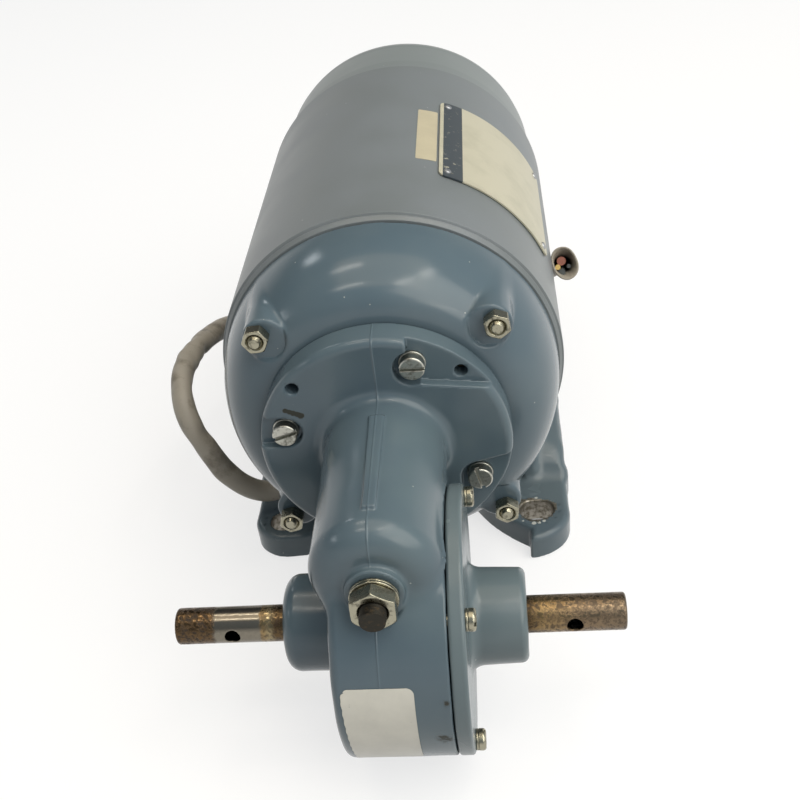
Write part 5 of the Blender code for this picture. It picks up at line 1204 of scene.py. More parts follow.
    def fill_world(self) -> None:
        """Give the room: a soft glow, stronger towards the front right, and pale walls low all round."""
        room = bpy.data.worlds.new("soft_room")
        room.use_nodes = True
        tree = room.node_tree
        tree.nodes.clear()
        place = add_node(tree, "TexCoord")
        toward = add_node(
            tree, "VectorMath", {0: place.outputs["Generated"], 1: (0.75, -0.35, 0.56)}, operation="DOT_PRODUCT"
        ).outputs["Value"]
        grade = add_node(
            tree, "ValToRGB", {"Fac": add_node(tree, "MapRange", {"Value": toward, "From Min": -1.0})},
            stops=[(0.15, (0.03, 0.03, 0.03, 1.0)), (0.5, (0.11, 0.12, 0.13, 1.0)), (0.95, (0.52, 0.59, 0.65, 1.0))],
        )
        height = add_node(tree, "SeparateXYZ", {0: place.outputs["Generated"]}).outputs["Z"]
        wall = add_node(tree, "MapRange", {"Value": height, "From Min": 0.34, "From Max": 0.1})
        both = add_node(
            tree, "Mix", {"Factor": wall, 6: grade, 7: (0.82, 0.82, 0.81, 1.0)}, data_type="RGBA"
        ).outputs[2]
        light = add_node(tree, "Background", {"Color": both, "Strength": 1.0})
        add_node(tree, "OutputWorld", {"Surface": light})
        bpy.context.scene.world = room
        bpy.context.scene.view_settings.view_transform = "Standard"

    def build(self) -> None:
        """Set up the whole studio."""
        self.place_camera()
        self.lay_floor()
        self.hang_lamps()
        self.fill_world()


# ---------------------------------------------------------------- the lead


@dataclass
class MotorLead:
    """The sleeved lead: out of its grommet, round in a loop, under the motor to its bare end."""

    diameter: float = 8.7
    wall: float = 0.9
    exit_angle: float = -130.0
    exit_y: float = 49.5
    exit_radius: float = 65.9
    grommet_radius: float = 6.7
    flange_radius: float = 8.6
    flange_thickness: float = 2.5
    hollow: float = 26.0
    mouth_turn: float = 0.0
    route: tuple[tuple[float, float, float], ...] = (
        (-47.3, 49.5, -56.4), (-52.2, 49.3, -62.0), (-59.0, 47.6, -62.8), (-66.3, 45.0, -57.0),
        (-72.6, 43.0, -47.0), (-77.0, 42.5, -35.5), (-82.0, 45.0, -25.0), (-85.5, 53.0, -17.0),
        (-86.5, 66.0, -13.0), (-84.5, 84.0, -14.0), (-80.5, 104.0, -19.0), (-77.0, 125.0, -29.0),
        (-73.0, 146.0, -45.0), (-66.0, 164.0, -61.0), (-52.0, 179.0, -74.0), (-32.0, 190.0, -79.4),
        (-8.0, 196.0, -79.5), (18.0, 199.0, -79.5), (41.0, 198.0, -76.5), (58.0, 192.0, -67.0),
        (63.0, 181.0, -56.0), (61.5, 168.0, -42.5), (62.2, 152.0, -28.5), (64.7, 138.0, -18.0),
        (66.8, 121.0, -7.5), (67.9, 106.0, 1.2),
    )

    def exit_point(self) -> Array:
        """Give the point where the sleeve leaves the grommet."""
        x, z = polar(self.exit_radius, self.exit_angle)
        return np.array([x, self.exit_y, z])

    def centre_line(self, count: int = 260) -> Array:
        """Read evenly spaced points from the smooth curve through the route.

        Between two route points b and c, with neighbours a and d, the curve is the cubic whose
        slopes at b and c are half of c - a and half of d - b.

        Args:
            count: How many points to read.

        Returns:
            The points, one a row.
        """
        places = np.vstack([self.exit_point(), self.route])
        ends = np.vstack([places[0] * 2 - places[1], places, places[-1] * 2 - places[-2]])
        t = (np.arange(20) / 20)[None, :, None]
        a, b, c, d = (ends[i : len(ends) - 3 + i][:, None, :] for i in range(4))
        dense = 0.5 * (2 * b + (c - a) * t + (2 * a - 5 * b + 4 * c - d) * t**2 + (3 * b - 3 * c + d - a) * t**3)
        dense = np.vstack([dense.reshape(-1, 3), places[-1:]])
        lengths = np.concatenate([[0.0], np.cumsum(np.linalg.norm(np.diff(dense, axis=0), axis=1))])
        marks = np.linspace(0, lengths[-1], count)
        return np.stack([np.interp(marks, lengths, dense[:, n]) for n in range(3)], axis=1)

    def length(self) -> float:
        """Give the lead's length in millimetres."""
        line = self.centre_line(600)
        return float(np.sum(np.linalg.norm(np.diff(line, axis=0), axis=1)))

    def sleeve(self) -> Surface:
        """Make the sleeve: a soft tube, flattened at its creases, that opens at its far end.

        The radius in direction a is r (1 - sum of d exp(-((s - s0) / w)^2) cos^2(a - a0)) for
        creases at s0. The skin runs to the mouth, over the lip and back inside to a blind end.

        Returns:
            The closed skin.
        """
        steps = 48
        line = self.centre_line(420)
        angle = np.arange(steps) * math.tau / steps
        total = self.length()
        along = np.linspace(0, total, len(line))[:, None]
        radius = np.full((len(line), steps), self.diameter / 2)
        creases = (
            (44.0, 5.0, 0.16, 0.4), (63.0, 3.0, 0.22, 1.1), (83.0, 4.0, 0.15, 2.4), (101.0, 2.6, 0.26, 0.7),
            (112.0, 2.2, 0.22, 2.0), (124.0, 3.5, 0.18, 0.2), (139.0, 5.0, 0.12, 1.5), (171.0, 4.0, 0.15, 0.9),
            (215.0, 6.0, 0.10, 2.2), (262.0, 5.0, 0.12, 0.3), (330.0, 7.0, 0.08, 1.8), (420.0, 5.0, 0.12, 1.0),
            (455.0, 4.0, 0.10, 2.8), (505.0, 6.0, 0.08, 0.6),
        )
        for centre, width, depth, turn in creases:
            pull = np.exp(-(((along - centre) / width) ** 2))
            radius *= 1 - depth * pull * np.cos(angle - turn) ** 2 + 0.35 * depth * pull * np.sin(angle - turn) ** 2
        radius *= 1 + 0.012 * np.sin(along * 0.55 + 2 * np.sin(angle * 2)) * np.sin(angle * 3 + along * 0.11)
        flare = np.clip((along - (total - 9.0)) / 9.0, 0, 1)
        radius *= 1 + flare**2 * (0.4 + 0.2 * np.cos(2 * (angle - self.mouth_turn)))
        back = line[::-1][: int(len(line) * self.hollow / total)]
        inner = radius[::-1][: len(back)] - self.wall
        lip = np.full((1, steps), 0.0) + radius[-1:] - self.wall / 2
        ahead = line[-1:] + (line[-1:] - line[-2:-1]) * 0.25
        path = np.vstack([line, ahead, back])
        radii = np.vstack([radius, lip, np.maximum(inner, 0.5)])
        side, other = carried_sides(line)
        side = np.vstack([side, side[-1:], side[::-1][: len(back)]])
        other = np.vstack([other, other[-1:], other[::-1][: len(back)]])
        return tube_skin(path, radii, side, other)

    def wire(self, offset: tuple[float, float], radius: float, short: float, lean: tuple[float, float]) -> Surface:
        """Make one conductor inside the mouth, beside the centre line, ending short of it.

        Args:
            offset: Its place beside the centre line.
            radius: The radius.
            short: How far it ends before the mouth.
            lean: How far its tip leans over.

        Returns:
            The closed skin.
        """
        line = self.centre_line(420)
        total = self.length()
        along = np.linspace(0, total, len(line))
        part = line[(along > total - self.hollow + 1.0) & (along < total - short)]
        tangent = np.gradient(part, axis=0)
        tangent /= np.linalg.norm(tangent, axis=1, keepdims=True)
        side = np.cross(tangent, ALONG_Z)
        side /= np.linalg.norm(side, axis=1, keepdims=True)
        other = np.cross(side, tangent)
        share = np.linspace(0, 1, len(part))[:, None]
        path = part + side * (offset[0] + lean[0] * share**2) + other * (offset[1] + lean[1] * share**2)
        rings = np.full((len(path), 20), radius)
        rings[0] *= 0.7
        rings[-1] *= 0.92
        return tube_skin(path, rings, *carried_sides(path))

    def build(self) -> None:
        sleeve = make_piece(
            "lead_sleeve", self.sleeve(), Look.SLEEVE, ("motor_lead",),
            Corners.BY_ANGLE,
        )
        plan = (
            ("lead_wire_brown", (-0.8, 1.3), 1.9, 1.2, (1.9, -0.2), Look.PINK_WIRE),
            ("lead_wire_yellow", (0.9, -0.4), 1.15, 0.4, (1.9, -0.9), Look.YELLOW_WIRE),
            ("lead_wire_grey", (-0.3, -1.7), 1.6, 1.4, (1.6, -1.8), Look.DARK_WIRE),
            ("lead_wire_blue", (-2.3, -0.7), 0.9, 3.0, (0.3, -0.5), Look.DARK_WIRE),
        )
        for name, offset, radius, short, lean, look in plan:
            skin = self.wire(offset, radius, short, lean)
            make_piece(name, skin, look, corners=Corners.BY_ANGLE)
        grommet = self.grommet()
        piece = make_piece("lead_entry_grommet", grommet, Look.RUBBER, ("lead_grommet",))

    def grommet(self) -> Surface:
        """Turn the grommet's outline about the lead hole's axis.

        Returns:
            The closed skin.
        """
        bore = self.diameter / 2 + 0.3
        outline = [
            (bore, 57.5, 0.3), (self.grommet_radius, 57.5, 0.4), (self.grommet_radius, 62.6, 0.3),
            (self.flange_radius, 62.8, 0.4), (self.flange_radius - 0.6, 62.8 + self.flange_thickness, 0.9),
            (bore, 62.8 + self.flange_thickness, 0.5),
        ]
        return stood_out(revolved(outline, "Y", CENTRE, 72), self.exit_angle, self.exit_y)


# ---------------------------------------------------------------- fasteners


def nut_field(flats: float, height: float, bore: float) -> Field:
    """Give a hexagon nut standing from y 0 to its height, chamfered by a cone at both faces.

    Args:
        flats: The width across flats.
        height: The nut's height.
        bore: The hole's radius.

    Returns:
        The nut's field.
    """

    def field(x: Array, y: Array, z: Array) -> Array:
        """Give the distance to the nut.

        Args:
            x: The points' x.
            y: The points' y.
            z: The points' z.

        Returns:
            The distance, negative inside.
        """
        half = flats / 2
        slab = np.abs(x)
        for turn in (60.0, 120.0):
            c, s = math.cos(math.radians(turn)), math.sin(math.radians(turn))
            slab = -joined(-slab, -np.abs(c * x + s * z), 0.25)
        body = common(slab - half, np.abs(y - height / 2) - height / 2, 0.25)
        radial = np.hypot(x, z)
        middle = np.abs(y - height / 2)
        cone = (radial - half * 1.02) * 0.5 + (middle - height / 2) * 0.866
        body = common(body, cone, 0.2)
        hole = radial - bore - np.maximum(middle - (height / 2 - 0.5), 0)
        return cut(body, hole, 0.15)

    return field


def screw_field(
    head: float, height: float, edge: float, slot_depth: float, shank: float, length: float
) -> Field:
    """Give a slotted screw: its seat at y 0, the head towards -y and the shank towards +y.

    Args:
        head: The head's radius.
        height: The head's height.
        edge: The rounding of the head's rim.
        slot_depth: The slot's depth.
        shank: The shank's radius.
        length: The shank's length.

    Returns:
        The screw's field.
    """

    def field(x: Array, y: Array, z: Array) -> Array:
        """Give the distance to the screw.

        Args:
            x: The points' x.
            y: The points' y.
            z: The points' z.

        Returns:
            The distance, negative inside.
        """
        radial = np.hypot(x, z)
        body = capped(radial + 0.03 * (height + y), y, head, -height, height, edge)
        body = common(body, y, 0.2)
        slot = common(np.abs(z) - 0.62, y - (slot_depth - height), 0.15)
        body = cut(body, slot, 0.18)
        return joined(body, capped(radial, y, shank, -0.5, length, 0.3), 0.2)

    return field


# ---------------------------------------------------------------- the motor


@dataclass
class MotorBody:
    """The motor: end shield, tube, rear cover, tie rods with their nuts, plate and label."""

    face_y: float = 2.9
    face_radius: float = 42.0
    rim_radius: float = 60.3
    seam_y: float = 36.9
    roundness: float = 2.2
    wall: float = 4.6
    hub_bore: float = 15.8
    tie_offset: float = 39.0
    boss_inset: float = 3.3
    boss_radius: float = 7.6
    floor_y: float = 4.7
    tube_radius: float = 62.5
    tube_end: float = 181.0
    nut_flats: float = 8.0
    nut_height: float = 4.4
    plate_y: tuple[float, float] = (72.5, 142.0)
    plate_angles: tuple[float, float] = (20.9, 70.3)

    def dome(self, radial: Array, y: Array) -> Array:
        """Give the distance to the dome: a superellipse in (r - face radius, seam - y).

        The value is (s - 1) over the length of s's gradient, where s is the n-th root of u^n + v^n.

        Args:
            radial: Distances from the cylinder's axis.
            y: The points' y.

        Returns:
            The distance, negative inside.
        """
        width, depth = self.rim_radius - self.face_radius, self.seam_y - self.face_y
        n = self.roundness
        u = np.maximum(radial - self.face_radius, 0) / width + 1e-6
        v = np.maximum(self.seam_y - y, 0) / depth + 1e-6
        s = (u**n + v**n) ** (1 / n)
        slope = np.hypot((u / s) ** (n - 1) / width, (v / s) ** (n - 1) / depth)
        return (s - 1) / slope

    def shield_field(self, x: Array, y: Array, z: Array) -> Array:
        """Give the end shield: a dome with four bosses, their nut pockets, and a hollow inside.

        Args:
            x: The points' x.
            y: The points' y.
            z: The points' z.

        Returns:
            The distance, negative inside.
        """
        radial = np.hypot(x, z)
        solid = self.dome(radial, y)
        inset = self.tie_offset - self.boss_inset / math.sqrt(2)
        across = np.hypot(np.abs(x) - inset, np.abs(z) - inset)
        boss = common(across - self.boss_radius, self.floor_y - y, 1.6)
        boss = np.maximum(boss, radial - self.rim_radius)
        solid = joined(solid, boss, 1.6)
        pocket = np.maximum(across - (self.boss_radius - 0.7), y - self.floor_y)
        solid = cut(solid, pocket, 1.5)
        solid = common(solid, y - self.seam_y, 0.7)
        inside = self.dome(radial + self.wall, y - self.wall)
        hollow = np.maximum(inside, y - 60.0)
        solid = cut(solid, hollow, 0.6)
        solid = cut(solid, radial - self.hub_bore, 0.5)
        return solid + unevenness(x, y, z, 0.05, 26.0)

    def tie_places(self) -> list[tuple[float, float]]:
        """List the tie rods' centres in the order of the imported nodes."""
        return [(i * self.tie_offset, k * self.tie_offset) for i in (-1, 1) for k in (-1, 1)]

    def build_nuts(self) -> None:
        """Build the tie rods' ends and their nuts."""
        step = detail(0.2)
        field = nut_field(self.nut_flats, self.nut_height, 2.55)
        across = grid_line(-5.2, 5.2, step, [])
        shape = zero_surface(field, (across, grid_line(-0.7, self.nut_height + 0.7, step, []), across))
        for number, (x, z) in enumerate(self.tie_places(), 1):
            angle = (12.0, 25.0, 4.0, 50.0)[number - 1]
            nut = shape.turned(ALONG_Y, angle, (x, 0.0, z))
            make_piece(f"shield_nut_{number}", nut, Look.ZINC, (f"tie_nut_{number}",))
            end = [
                (0.0, 196.0, 0), (2.45, 196.0, 0.4), (2.45, 0.3, 0.15), (1.75, -1.0, 0.35), (0.0, -1.0, 0),
            ]
            rod = revolved(end[::-1], "Y", (x, 0.0, z), 40)
            make_piece(f"shield_rod_{number}", rod, Look.ZINC, (f"tie_rod_{number}",))

    def build_shield(self) -> None:
        """Build the end shield."""
        step = detail(0.86)
        fine = [(-48.0, -30.0, detail(0.62)), (30.0, 48.0, detail(0.62))]
        across = grid_line(-62.0, 62.0, step, fine)
        deep = grid_line(1.0, 38.4, step, [(1.5, 12.0, detail(0.66))])
        skin = zero_surface(self.shield_field, (across, deep, across))
        make_piece("motor_shield", skin, Look.SHIELD, ("front_shield",))

    def build_tube(self) -> None:
        """Build the tube: its front end is turned down to a bevelled band behind a fine groove."""
        outer, inner = self.tube_radius, self.tube_radius - 3.5
        outline = [
            (inner, self.seam_y + 0.3, 0.2), (60.8, self.seam_y + 0.3, 0.3), (61.9, 38.9, 0.5), (61.55, 39.25, 0.15),
            (61.55, 39.6, 0.15), (outer, 40.0, 0.35), (outer, self.tube_end, 0.25), (inner, self.tube_end, 0.2),
        ]
        skin = revolved(outline, "Y", CENTRE, 224)
        make_piece("stator_tube", skin, Look.TUBE, ("motor_tube",))

    def build_cover(self) -> None:
        """Build the deep rear bell."""
        start, end = self.tube_end + 0.3, 235.5
        outline = [
            (0.0, end - 4.0, 0), (55.6 - 14.0, end - 4.0, 10.0), (57.0, start + 26.0, 12.0), (57.3, start, 0.3),
            (61.0, start, 0.7), (60.6, start + 12.0, 40.0), (59.2, end - 19.0, 40.0), (59.0, end, 18.0),
            (0.0, end, 0),
        ]
        skin = revolved(outline, "Y", CENTRE, 224)
        make_piece("rear_bell", skin, Look.BACK, ("rear_cover",))

    def on_tube(self, middle_angle: float, middle_y: float, base: float) -> Callable[[Array, Array, Array], Array]:
        """Give the map that lays a sheet on the tube: u runs round it and v along it.

        Args:
            middle_angle: The angle of the sheet's middle in degrees.
            middle_y: The y of the sheet's middle.
            base: The radius that the sheet lies on.

        Returns:
            The map.
        """

        def place(u: Array, v: Array, depth: Array) -> Array:
            """Carry (u, v, depth) to points round the motor axis.

            Args:
                u: Places across the sheet.
                v: Places along the sheet.
                depth: Heights over the base.

            Returns:
                The points.
            """
            radius = base + depth
            angle = math.radians(middle_angle) + u / base
            return np.stack([radius * np.cos(angle), middle_y + v, radius * np.sin(angle)], axis=-1)

        return place

    def build_plate(self) -> None:
        """Build the bare printed plate and its rivets."""
        low, high = self.plate_angles
        half_arc = math.radians(high - low) / 2 * 62.8
        half_long = (self.plate_y[1] - self.plate_y[0]) / 2
        corner = 3.0

        def outline(v: Array) -> tuple[Array, Array]:
            """Give the half widths of a sheet with round corners.

            Args:
                v: Places along the sheet.

            Returns:
                The left and the right half width.
            """
            over = np.maximum(np.abs(v) - (half_long - corner), 0)
            half = half_arc - corner + np.sqrt(np.maximum(corner**2 - over**2, 0))
            return half, half

        place = self.on_tube((low + high) / 2, sum(self.plate_y) / 2, 62.8)
        skin = bent_sheet(place, outline, half_long, 0.58, (72, 72))
        make_piece("printed_plate", skin, Look.PLATE, ("rating_plate",), Corners.BY_ANGLE)
        for number, (angle, y) in enumerate(((24.0, 76.5), (24.0, 138.0), (67.4, 76.5), (67.4, 138.0)), 1):
            head = revolved([(0.0, 63.2, 0), (1.5, 63.2, 0.1), (1.35, 64.1, 0.75), (0.0, 64.1, 0)], "Y", CENTRE, 28)
            rivet = stood_out(head, angle, y)
            make_piece(f"plate_rivet_{number}", rivet, Look.ALUMINIUM)

    def build_sticker(self) -> None:
        """Build the small blank label on the tube's top."""
        half_arc, half_long = math.radians(3.6) * 62.5, 23.5

        def outline(v: Array) -> tuple[Array, Array]:
            """Give the half widths of a sheet with slightly rounded corners.

            Args:
                v: Places along the sheet.

            Returns:
                The left and the right half width.
            """
            over = np.maximum(np.abs(v) - (half_long - 0.6), 0)
            half = half_arc - 0.6 + np.sqrt(np.maximum(0.36 - over**2, 0))
            return half, half

        skin = bent_sheet(self.on_tube(74.7, 108.0, 62.5), outline, half_long, 0.12, (16, 48))
        make_piece("tube_label", skin, Look.STICKER, corners=Corners.BY_ANGLE)

    def build(self) -> None:
        """Build and dress the motor."""
        self.build_shield()
        self.build_tube()
        self.build_cover()
        self.build_nuts()
        self.build_plate()
        self.build_sticker()


# ---------------------------------------------------------------- the gearbox


@dataclass
class Gearbox:
    """The worm gearbox: one casting of flange, worm tube and wheel drum, its cover and its screws."""

    axis_y: float = OUTPUT_Y
    axis_z: float = OUTPUT_Z
    flange_radius: float = 42.2
    flange_front: float = -8.5
    flange_rear: float = 2.6
    tube_radius: float = 20.3
    nose_y: float = -73.6
    collar_y: float = -76.2
    collar_radius: float = 8.9
    nut_flats: float = 13.0
    nut_y: float = -83.6
    drum_radius: float = 42.85
    drum_left: float = -15.0
    joint_x: float = 19.9
    cover_x: tuple[float, float] = (20.2, 25.2)
    left_boss_radius: float = 15.8
    left_boss_end: float = -33.9
    right_boss_radius: float = 15.0
    right_boss_end: float = 43.4
    screw_circle: float = 33.8
    screw_angles: tuple[float, ...] = (166.0, 70.0, -25.0, -127.0)
    screw_turns: tuple[float, ...] = (-18.0, 1.0, 76.0, 30.0)
    pocket_radius: float = 5.75
    pocket_floor: float = -5.2
    pin_circle: float = 38.0
    pin_angles: tuple[float, ...] = (137.3, 45.3)
    cover_screw_circle: float = 38.5
    joint_seat_radius: float = 43.9
    wheel_room_radius: float = 33.0
    wheel_room_left: float = -10.5
    worm_bore: float = 13.0
    worm_bore_front: float = -56.0
    stud_bore: float = 4.35
    bush_bore: float = 9.3
    shaft_bore: float = 8.9
    pin_bore: float = 2.15
    washer_seat_y: float = -6.55

    def screw_place(self, angle: float) -> tuple[float, float]:
        """Give a flange screw's x and z."""
        return polar(self.screw_circle, angle)

    def pockets(self, x: Array, y: Array, z: Array) -> Array:
        """Give the screws' pockets: each a round seat whose open side runs out through the rim.

        Args:
            x: The points' x.
            y: The points' y.
            z: The points' z.

        Returns:
            The distance, negative inside.
        """
        (lx, lz), (tx, tz), (rx, rz), (bx, bz) = (self.screw_place(angle) for angle in self.screw_angles)
        left = np.hypot(np.maximum(x - lx, 0), z - lz)
        round_seat = np.hypot(x - tx, z - tz + 0.8) - 0.45
        open_side = np.hypot(np.maximum(15.9 - x, 0), np.maximum(32.4 - 0.13 * x - z, 0))
        right = np.hypot(np.maximum(rx - x, 0), np.maximum(z - rz - 0.27 * np.maximum(x - rx, 0), 0)) - 0.5
        low = np.hypot(x - bx, np.maximum(z - bz, 0))
        nearest = np.minimum(np.minimum(left, np.minimum(round_seat, open_side)), np.minimum(right, low))
        nearest = np.maximum(nearest - self.pocket_radius, np.maximum(y - self.pocket_floor, -20.0 - y))
        return np.maximum(nearest, 24.6 - np.hypot(x, z))

    def housing_field(self, x: Array, y: Array, z: Array) -> Array:
        """Give the casting: flange, worm tube with rib and collar, drum and left boss, all blended.

        Args:
            x: The points' x.
            y: The points' y.
            z: The points' z.

        Returns:
            The distance, negative inside.
        """
        radial = np.hypot(x, z)
        away = np.hypot(y - self.axis_y, z - self.axis_z)
        flange = capped(radial, y, self.flange_radius, self.flange_front, self.flange_rear + 9.0, 2.6)
        flange = common(flange, y - self.flange_rear, 0.8)
        waist = 0.5 * np.exp(-(((y + 44.0) / 20.0) ** 2))
        tube = capped(radial + waist, y, self.tube_radius, self.nose_y, 10.0, 8.5)
        tube = np.maximum(tube, y - self.flange_rear)
        drum = capped(away, x, self.drum_radius, self.drum_left, 40.0, 3.0)
        boss = capped(away, x, self.left_boss_radius, self.left_boss_end, 0.0, 4.6)
        solid = joined(flange, tube, 4.2)
        solid = joined(solid, joined(drum, boss, 3.2), 4.0)
        half_rib = 2.25 + 0.01 * (y + 40.0)
        rib = common(np.abs(x + 0.3) - half_rib, radial - (self.tube_radius + 0.85), 0.7)
        rib = common(rib, np.abs(y + 40.0) - 22.0, 0.7)
        rib = np.maximum(rib, -z)
        solid = joined(solid, rib, 0.7)
        # The mould's parting line: a low, narrow swelling over flange, tube, nose and drum.
        solid = solid - 0.17 * np.exp(-(((x + 0.5) / 0.24) ** 2)) * np.clip((z + 26.0) / 3.0, 0, 1)
        collar = capped(radial, y, self.collar_radius, self.collar_y, -60.0, 0.6)
        solid = joined(solid, collar, 1.3)
        face = common(radial - 9.6, y - self.collar_y, 0.4)
        solid = cut(solid, face, 0.6)
        solid = cut(solid, self.pockets(x, y, z), 0.7)
        seat = np.maximum(self.joint_x - x, away - self.joint_seat_radius)
        solid = cut(solid, seat, 0.7)
        for angle in self.pin_angles:
            px, pz = polar(self.pin_circle, angle)
            hole = np.maximum(np.hypot(x - px, z - pz) - self.pin_bore, y - 1.5)
            solid = cut(solid, hole, 0.45)
        hollow = np.maximum(away - self.wheel_room_radius, self.wheel_room_left - x)
        hollow = np.minimum(hollow, np.maximum(radial - self.worm_bore, self.worm_bore_front - y))
        hollow = np.minimum(hollow, radial - self.stud_bore)
        hollow = np.minimum(hollow, np.maximum(away - self.bush_bore, np.abs(x + 20.0) - 11.0))
        hollow = np.minimum(hollow, np.maximum(away - self.shaft_bore, x))
        solid = cut(solid, hollow, 0.4)
        return solid + unevenness(x, y, z, 0.10, 21.0)

    def build_housing(self) -> None:
        """Build the gearbox casting."""
        step = detail(0.84)
        fine = [(-3.6, 2.4, detail(0.4)), (-1.2, 0.2, detail(0.2)), (18.9, 21.0, detail(0.4))]
        across = grid_line(-37.5, 45.0, step, fine)
        across = np.unique(np.concatenate([across, grid_line(-44.0, -37.5, step, [])]))
        deep = grid_line(-93.5, 4.5, step, [(-77.6, -72.5, detail(0.5)), (-9.6, -3.8, detail(0.5))])
        high = grid_line(-83.5, 44.0, step, [])
        skin = zero_surface(self.housing_field, (across, deep, high))
        make_piece("gearbox_casting", skin, Look.GEARBOX, ("gearbox_housing",))

    def cover_field(self, x: Array, y: Array, z: Array) -> Array:
        """Give the cover: a round plate with its register and the right boss, filleted at the root.

        Args:
            x: The points' x.
            y: The points' y.
            z: The points' z.

        Returns:
            The distance, negative inside.
        """
        away = np.hypot(y - self.axis_y, z - self.axis_z)
        low, high = self.cover_x
        plate = capped(away, x, self.drum_radius, low, high, 1.1)
        draft = 0.8 * np.clip((self.right_boss_end - x) / (self.right_boss_end - high), 0, 1)
        boss = capped(away - draft, x, self.right_boss_radius, low + 0.5, self.right_boss_end, 2.3)
        solid = joined(plate, boss, 4.2)
        register = np.maximum(away - 32.7, np.abs(x - 19.2) - 1.7)
        solid = joined(solid, register, 0.4)
        bore = np.minimum(away - self.bush_bore, np.maximum(away - 11.3, 38.4 - x))
        solid = cut(solid, bore, 0.5)
        return solid + unevenness(x, y, z, 0.07, 18.0)

    def build_cover(self) -> None:
        """Build the cover."""
        step = detail(0.75)
        across = grid_line(16.6, 45.0, step, [(19.0, 27.0, detail(0.45))])
        deep = grid_line(-93.0, -4.5, step, [])
        high = grid_line(-83.0, 5.5, step, [])
        skin = zero_surface(self.cover_field, (across, deep, high))
        make_piece("gearbox_side_cover", skin, Look.COVER, ("gearbox_cover",))

    def build_screws(self) -> None:
        """Build the flange screws and the cover screws with their washers, and the locating pins."""
        step = detail(0.2)
        around = grid_line(-4.9, 4.9, step, [])
        line = grid_line(-4.1, 12.5, step, [])
        shape = zero_surface(screw_field(4.2, 3.5, 0.6, 1.4, 2.45, 11.9), (around, line, around))
        washer = [(2.7, 0.05, 0.1), (4.4, 0.05, 0.3), (4.4, 1.3, 0.3), (2.7, 1.3, 0.1)]
        shape = shape.joined_with(revolved(washer, "Y", CENTRE, 56))
        for number, (angle, turn) in enumerate(zip(self.screw_angles, self.screw_turns), 1):
            x, z = self.screw_place(angle)
            make_piece(
                f"flange_cheese_screw_{number}", shape.turned(ALONG_Y, turn, (x, self.washer_seat_y, z)),
                Look.SCREW_ZINC, (f"flange_screw_{number}",),
            )
        line = grid_line(-2.9, 15.0, step, [])
        around = grid_line(-4.1, 4.1, step, [])
        shape = zero_surface(screw_field(3.5, 2.3, 1.1, 0.8, 1.95, 14.4), (around, line, around))
        washer = [(2.2, 0.03, 0.1), (3.4, 0.03, 0.25), (3.4, 0.86, 0.25), (2.2, 0.86, 0.1)]
        shape = shape.joined_with(revolved(washer, "Y", CENTRE, 56))
        for number in range(4):
            y, z = polar(self.cover_screw_circle, 45.0 + 90.0 * number)
            y, z = self.axis_y + y, self.axis_z + z
            spun = shape.turned(ALONG_Y, (65.0, 20.0, 110.0, 80.0)[number], (0.0, 0.0, 0.0))
            make_piece(
                f"cover_cheese_screw_{number + 1}", spun.turned(ALONG_Z, 90.0, (self.cover_x[1] + 0.9, y, z)),
                Look.ZINC, (f"cover_screw_{number + 1}",),
            )
        for number, angle in enumerate(self.pin_angles, 1):
            x, z = polar(self.pin_circle, angle)
            pin = revolved(
                [(1.15, -0.4, 0.1), (1.9, -0.4, 0.2), (1.9, 5.5, 0.2), (1.15, 5.5, 0.1)], "Y", (x, 0.0, z), 36
            )
            make_piece(f"flange_roll_pin_{number}", pin, Look.OXIDE, (f"locating_pin_{number}",))

    def build_adjuster(self) -> None:
        """Build the worm's adjusting stud with its thread, the lock washer and the lock nut."""
        step = detail(0.25)
        across, up = grid_line(-8.3, 8.3, step, []), grid_line(-0.8, 5.9, step, [])
        shape = zero_surface(nut_field(self.nut_flats, 5.1, 4.1), (across, up, across))
        nut = shape.turned(ALONG_Y, 0.0, (0.0, self.nut_y, 0.0))
        make_piece("adjuster_nut", nut, Look.ZINC, ("lock_nut",))
        rim = [(4.3, -78.4, 0.15), (7.3, -78.4, 0.3), (7.3, -77.55, 0.2), (7.0, -77.5, 0.02), (7.3, -77.45, 0.2),
               (7.3, -76.6, 0.3), (4.3, -76.6, 0.15)]
        washer = revolved(rim, "Y", CENTRE, 96)
        make_piece("adjuster_washer", washer, Look.ZINC, ("lock_washer",))
        # The thread: a ring groove every 1.25 mm, which reads as the M8 helix at this size.
        stud = [(0.0, -62.0, 0), (3.9, -62.0, 0.3)]
        y = -77.0
        while y > -85.8:
            stud += [(3.95, y, 0.08), (3.35, y - 0.55, 0.1), (3.95, y - 1.1, 0.08)]
            y -= 1.25
        stud += [(3.3, -86.9, 0.3), (0.0, -86.9, 0)]
        make_piece(
            "adjuster_stud", revolved(stud[::-1], "Y", CENTRE, 72), Look.OXIDE,
            ("thrust_stud",),
        )

    def build_seal(self) -> None:
        """Build the left boss's shaft seal, set just inside its mouth."""
        outline = [(6.15, -33.4, 0.5), (8.85, -33.4, 0.4), (8.85, -31.2, 0.2), (6.15, -31.2, 0.2)]
        ring = revolved(outline, "X", (0.0, self.axis_y, self.axis_z), 96)
        make_piece("left_boss_seal", ring, Look.RUBBER, ("left_shaft_seal",))

    def build_label(self) -> None:
        """Build the blank label on the drum's front, torn at its upper left corner."""
        base = self.drum_radius + 0.12
        half_long = math.radians(25.3) * base
        middle = 186.2

        def place(u: Array, v: Array, depth: Array) -> Array:
            """Carry (u, v, depth) onto the drum: u across it and v round it.

            Args:
                u: Places across the sheet.
                v: Places along the sheet.
                depth: Heights over the base.

            Returns:
                The points.
            """
            radius = base + depth
            angle = math.radians(middle) - v / base
            return np.stack(
                [u - 1.2, self.axis_y + radius * np.cos(angle), self.axis_z + radius * np.sin(angle)], axis=-1
            )

